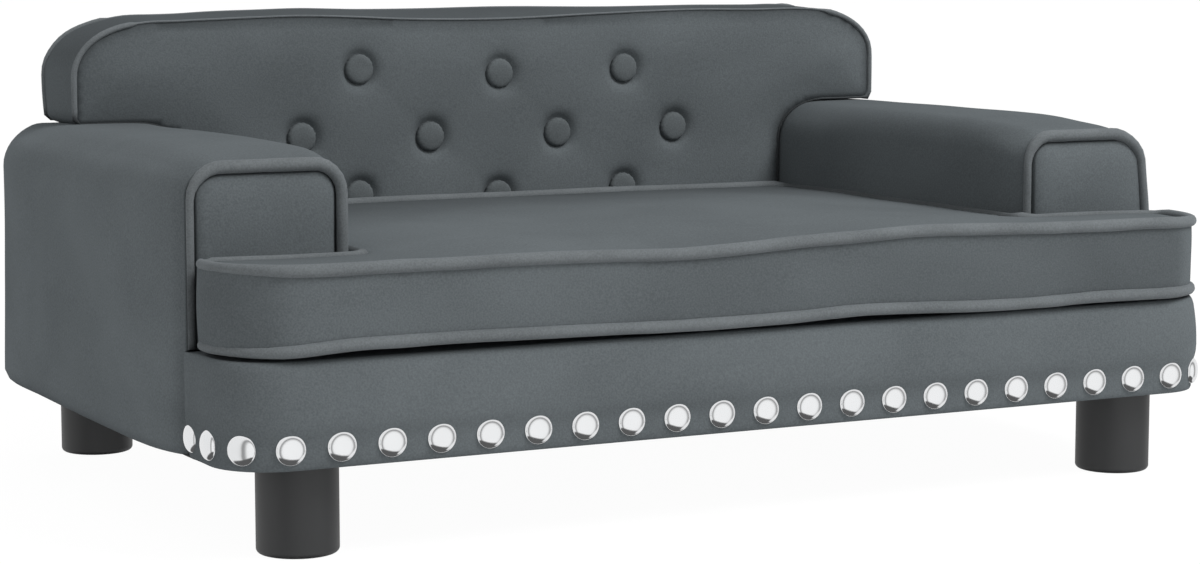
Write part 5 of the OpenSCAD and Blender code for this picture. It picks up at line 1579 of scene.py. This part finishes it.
def nail(run):
    """A dome in rings from its middle to its rim, and a short turned-in edge."""
    x, y, out_x_part, out_y_part = on_rail(run)
    out, along = np.array([out_x_part, out_y_part, 0]), np.array([-out_y_part, out_x_part, 0])
    centre = np.array([x, y, nail_z])
    turn = np.linspace(0, math.tau, NAIL_SIDES, endpoint=False)
    ring = np.cos(turn)[:, None] * along + np.sin(turn)[:, None] * np.array([0, 0, 1.0])
    loops = [centre + NAIL_D / 2 * math.sin(a) ** 0.9 * ring + NAIL_H * math.cos(a) * out
             for a in np.linspace(0.06, 1, NAIL_RINGS) * math.pi / 2]
    loops.append(centre + 0.94 * NAIL_D / 2 * ring - 0.9 * MM * out)
    points, faces = strip(loops)
    middle = len(points)
    points = np.vstack([points, [centre + NAIL_H * out]])
    return points, faces + [(k, middle, (k + 1) % NAIL_SIDES) for k in range(NAIL_SIDES)]


# %% The row of nails
nail_runs = [k * NAIL_PITCH + NAIL_START for k in range(-NAILS_A_SIDE, NAILS_A_SIDE + 1)]
nail_runs = [r - math.copysign(CLOSER * max(0.0, abs(r) - CLOSER_FROM), r) for r in nail_runs]
piece("domed_nails", [nail(r) for r in nail_runs], CHROME, "sofa", "nail_chrome",
      stands_for=["rail_nails"])


# %% [markdown]
# Black cloth closes the sofa below and lies over the seat board. Both are single layers of cloth,
# stretched and stapled, so they are sheets that sag by less than their weave. A cloth simulation
# could let them sag as well, but for less than half a millimetre a drawn bow is enough.

# %% Black cloths
FRONT_NARROWER = 0.045


def stretched_cloth(name, node, sag, step=12 * MM):
    """A sheet over a node's own outline, at the face that shows. The one below follows the round
    ends of the rail in front."""
    low, high = span(node)
    z = low[2] if sag < 0 else high[2]
    wide, deep = high[0] - low[0], high[1] - low[1]
    columns, rows = int(wide / step), int(deep / step)
    x, y = np.meshgrid(np.linspace(low[0], high[0], columns), np.linspace(low[1], high[1], rows))
    if sag < 0:
        inset = np.clip(rail_rear_y - y, 0, None) / (rail_rear_y - low[1])
        x = x * (1 - FRONT_NARROWER * inset ** 2.2)
    bow = np.sin(math.pi * (x - low[0]) / wide) * np.sin(math.pi * (y - low[1]) / deep)
    points = np.column_stack([x.ravel(), y.ravel(), (z + sag * bow ** 2 + 0 * x).ravel()])
    faces = [(j * columns + i, j * columns + i + 1, (j + 1) * columns + i + 1, (j + 1) * columns + i)
             for j in range(rows - 1) for i in range(columns - 1)]
    cloth = piece(name, [(points, faces)], CLOTH, "sofa", "black_cloth", stands_for=[node],
                  welded=False)
    return cloth


stretched_cloth("seat_deck_cloth", "deck_cloth", 0.2 * MM)
stretched_cloth("underside_cloth", "dust_cover", -0.4 * MM)

# %% [markdown]
# The zip sits in the cushion's rear boxing, where it isn't seen, and lets the foam out for washing:
# two tapes, a row of teeth and a slider with its tab. A printed strip would pass, but small blocks
# are quick to make, and they hold up when the sofa is turned round.

# %% The zip
zip_low, zip_high = span("cushion_zip")
TEETH = 150


def box_part(low, high):
    """A small block between two corners, with its edges taken off."""
    low, high = np.array(low), np.array(high)
    cut = (high - low).min() * 0.18
    loops = []
    for z, inset in ((low[2], cut), (low[2] + cut, 0), (high[2] - cut, 0), (high[2], cut)):
        x0, x1, y0, y1 = low[0] + inset, high[0] - inset, low[1] + inset, high[1] - inset
        loops.append(np.array([
            (x0 + cut, y0, z), (x1 - cut, y0, z), (x1, y0 + cut, z), (x1, y1 - cut, z),
            (x1 - cut, y1, z), (x0 + cut, y1, z), (x0, y1 - cut, z), (x0, y0 + cut, z)]))
    points, faces = strip(loops)
    return points, faces + [tuple(range(7, -1, -1)), tuple(range(len(points) - 8, len(points)))]


# %% The zip's parts
zip_y, zip_mid = zip_high[1] - 1.6 * MM, (zip_low[2] + zip_high[2]) / 2
half_zip = (zip_high[0] - zip_low[0]) / 2
zip_parts = [
    box_part((-half_zip, zip_y - 1.5 * MM, zip_low[2]),
             (half_zip, zip_y - 0.9 * MM, zip_mid - 0.4 * MM)),
    box_part((-half_zip, zip_y - 1.5 * MM, zip_mid + 0.4 * MM),
             (half_zip, zip_y - 0.9 * MM, zip_high[2])),
]
tooth = 2 * half_zip / TEETH
for k in range(TEETH):
    x = -half_zip + (k + 0.5) * tooth
    lean = 0.35 * MM * (1 if k % 2 else -1)
    zip_parts.append(box_part((x - 0.36 * tooth, zip_y - 1.0 * MM, zip_mid - 1.1 * MM + lean),
                              (x + 0.36 * tooth, zip_y - 0.1 * MM, zip_mid + 1.1 * MM + lean)))
slider_x = half_zip - 18 * MM
zip_parts.append(box_part((slider_x - 5 * MM, zip_y - 1.2 * MM, zip_mid - 3 * MM),
                          (slider_x + 5 * MM, zip_y + 0.9 * MM, zip_mid + 3 * MM)))
zip_parts.append(box_part((slider_x - 14 * MM, zip_y + 0.3 * MM, zip_mid - 2 * MM),
                          (slider_x + 1 * MM, zip_y + 1.2 * MM, zip_mid + 2 * MM)))
piece("cushion_zip_fastener", zip_parts, ZIP, "seat_cushion", "zip", stands_for=["cushion_zip"],
      welded=False)
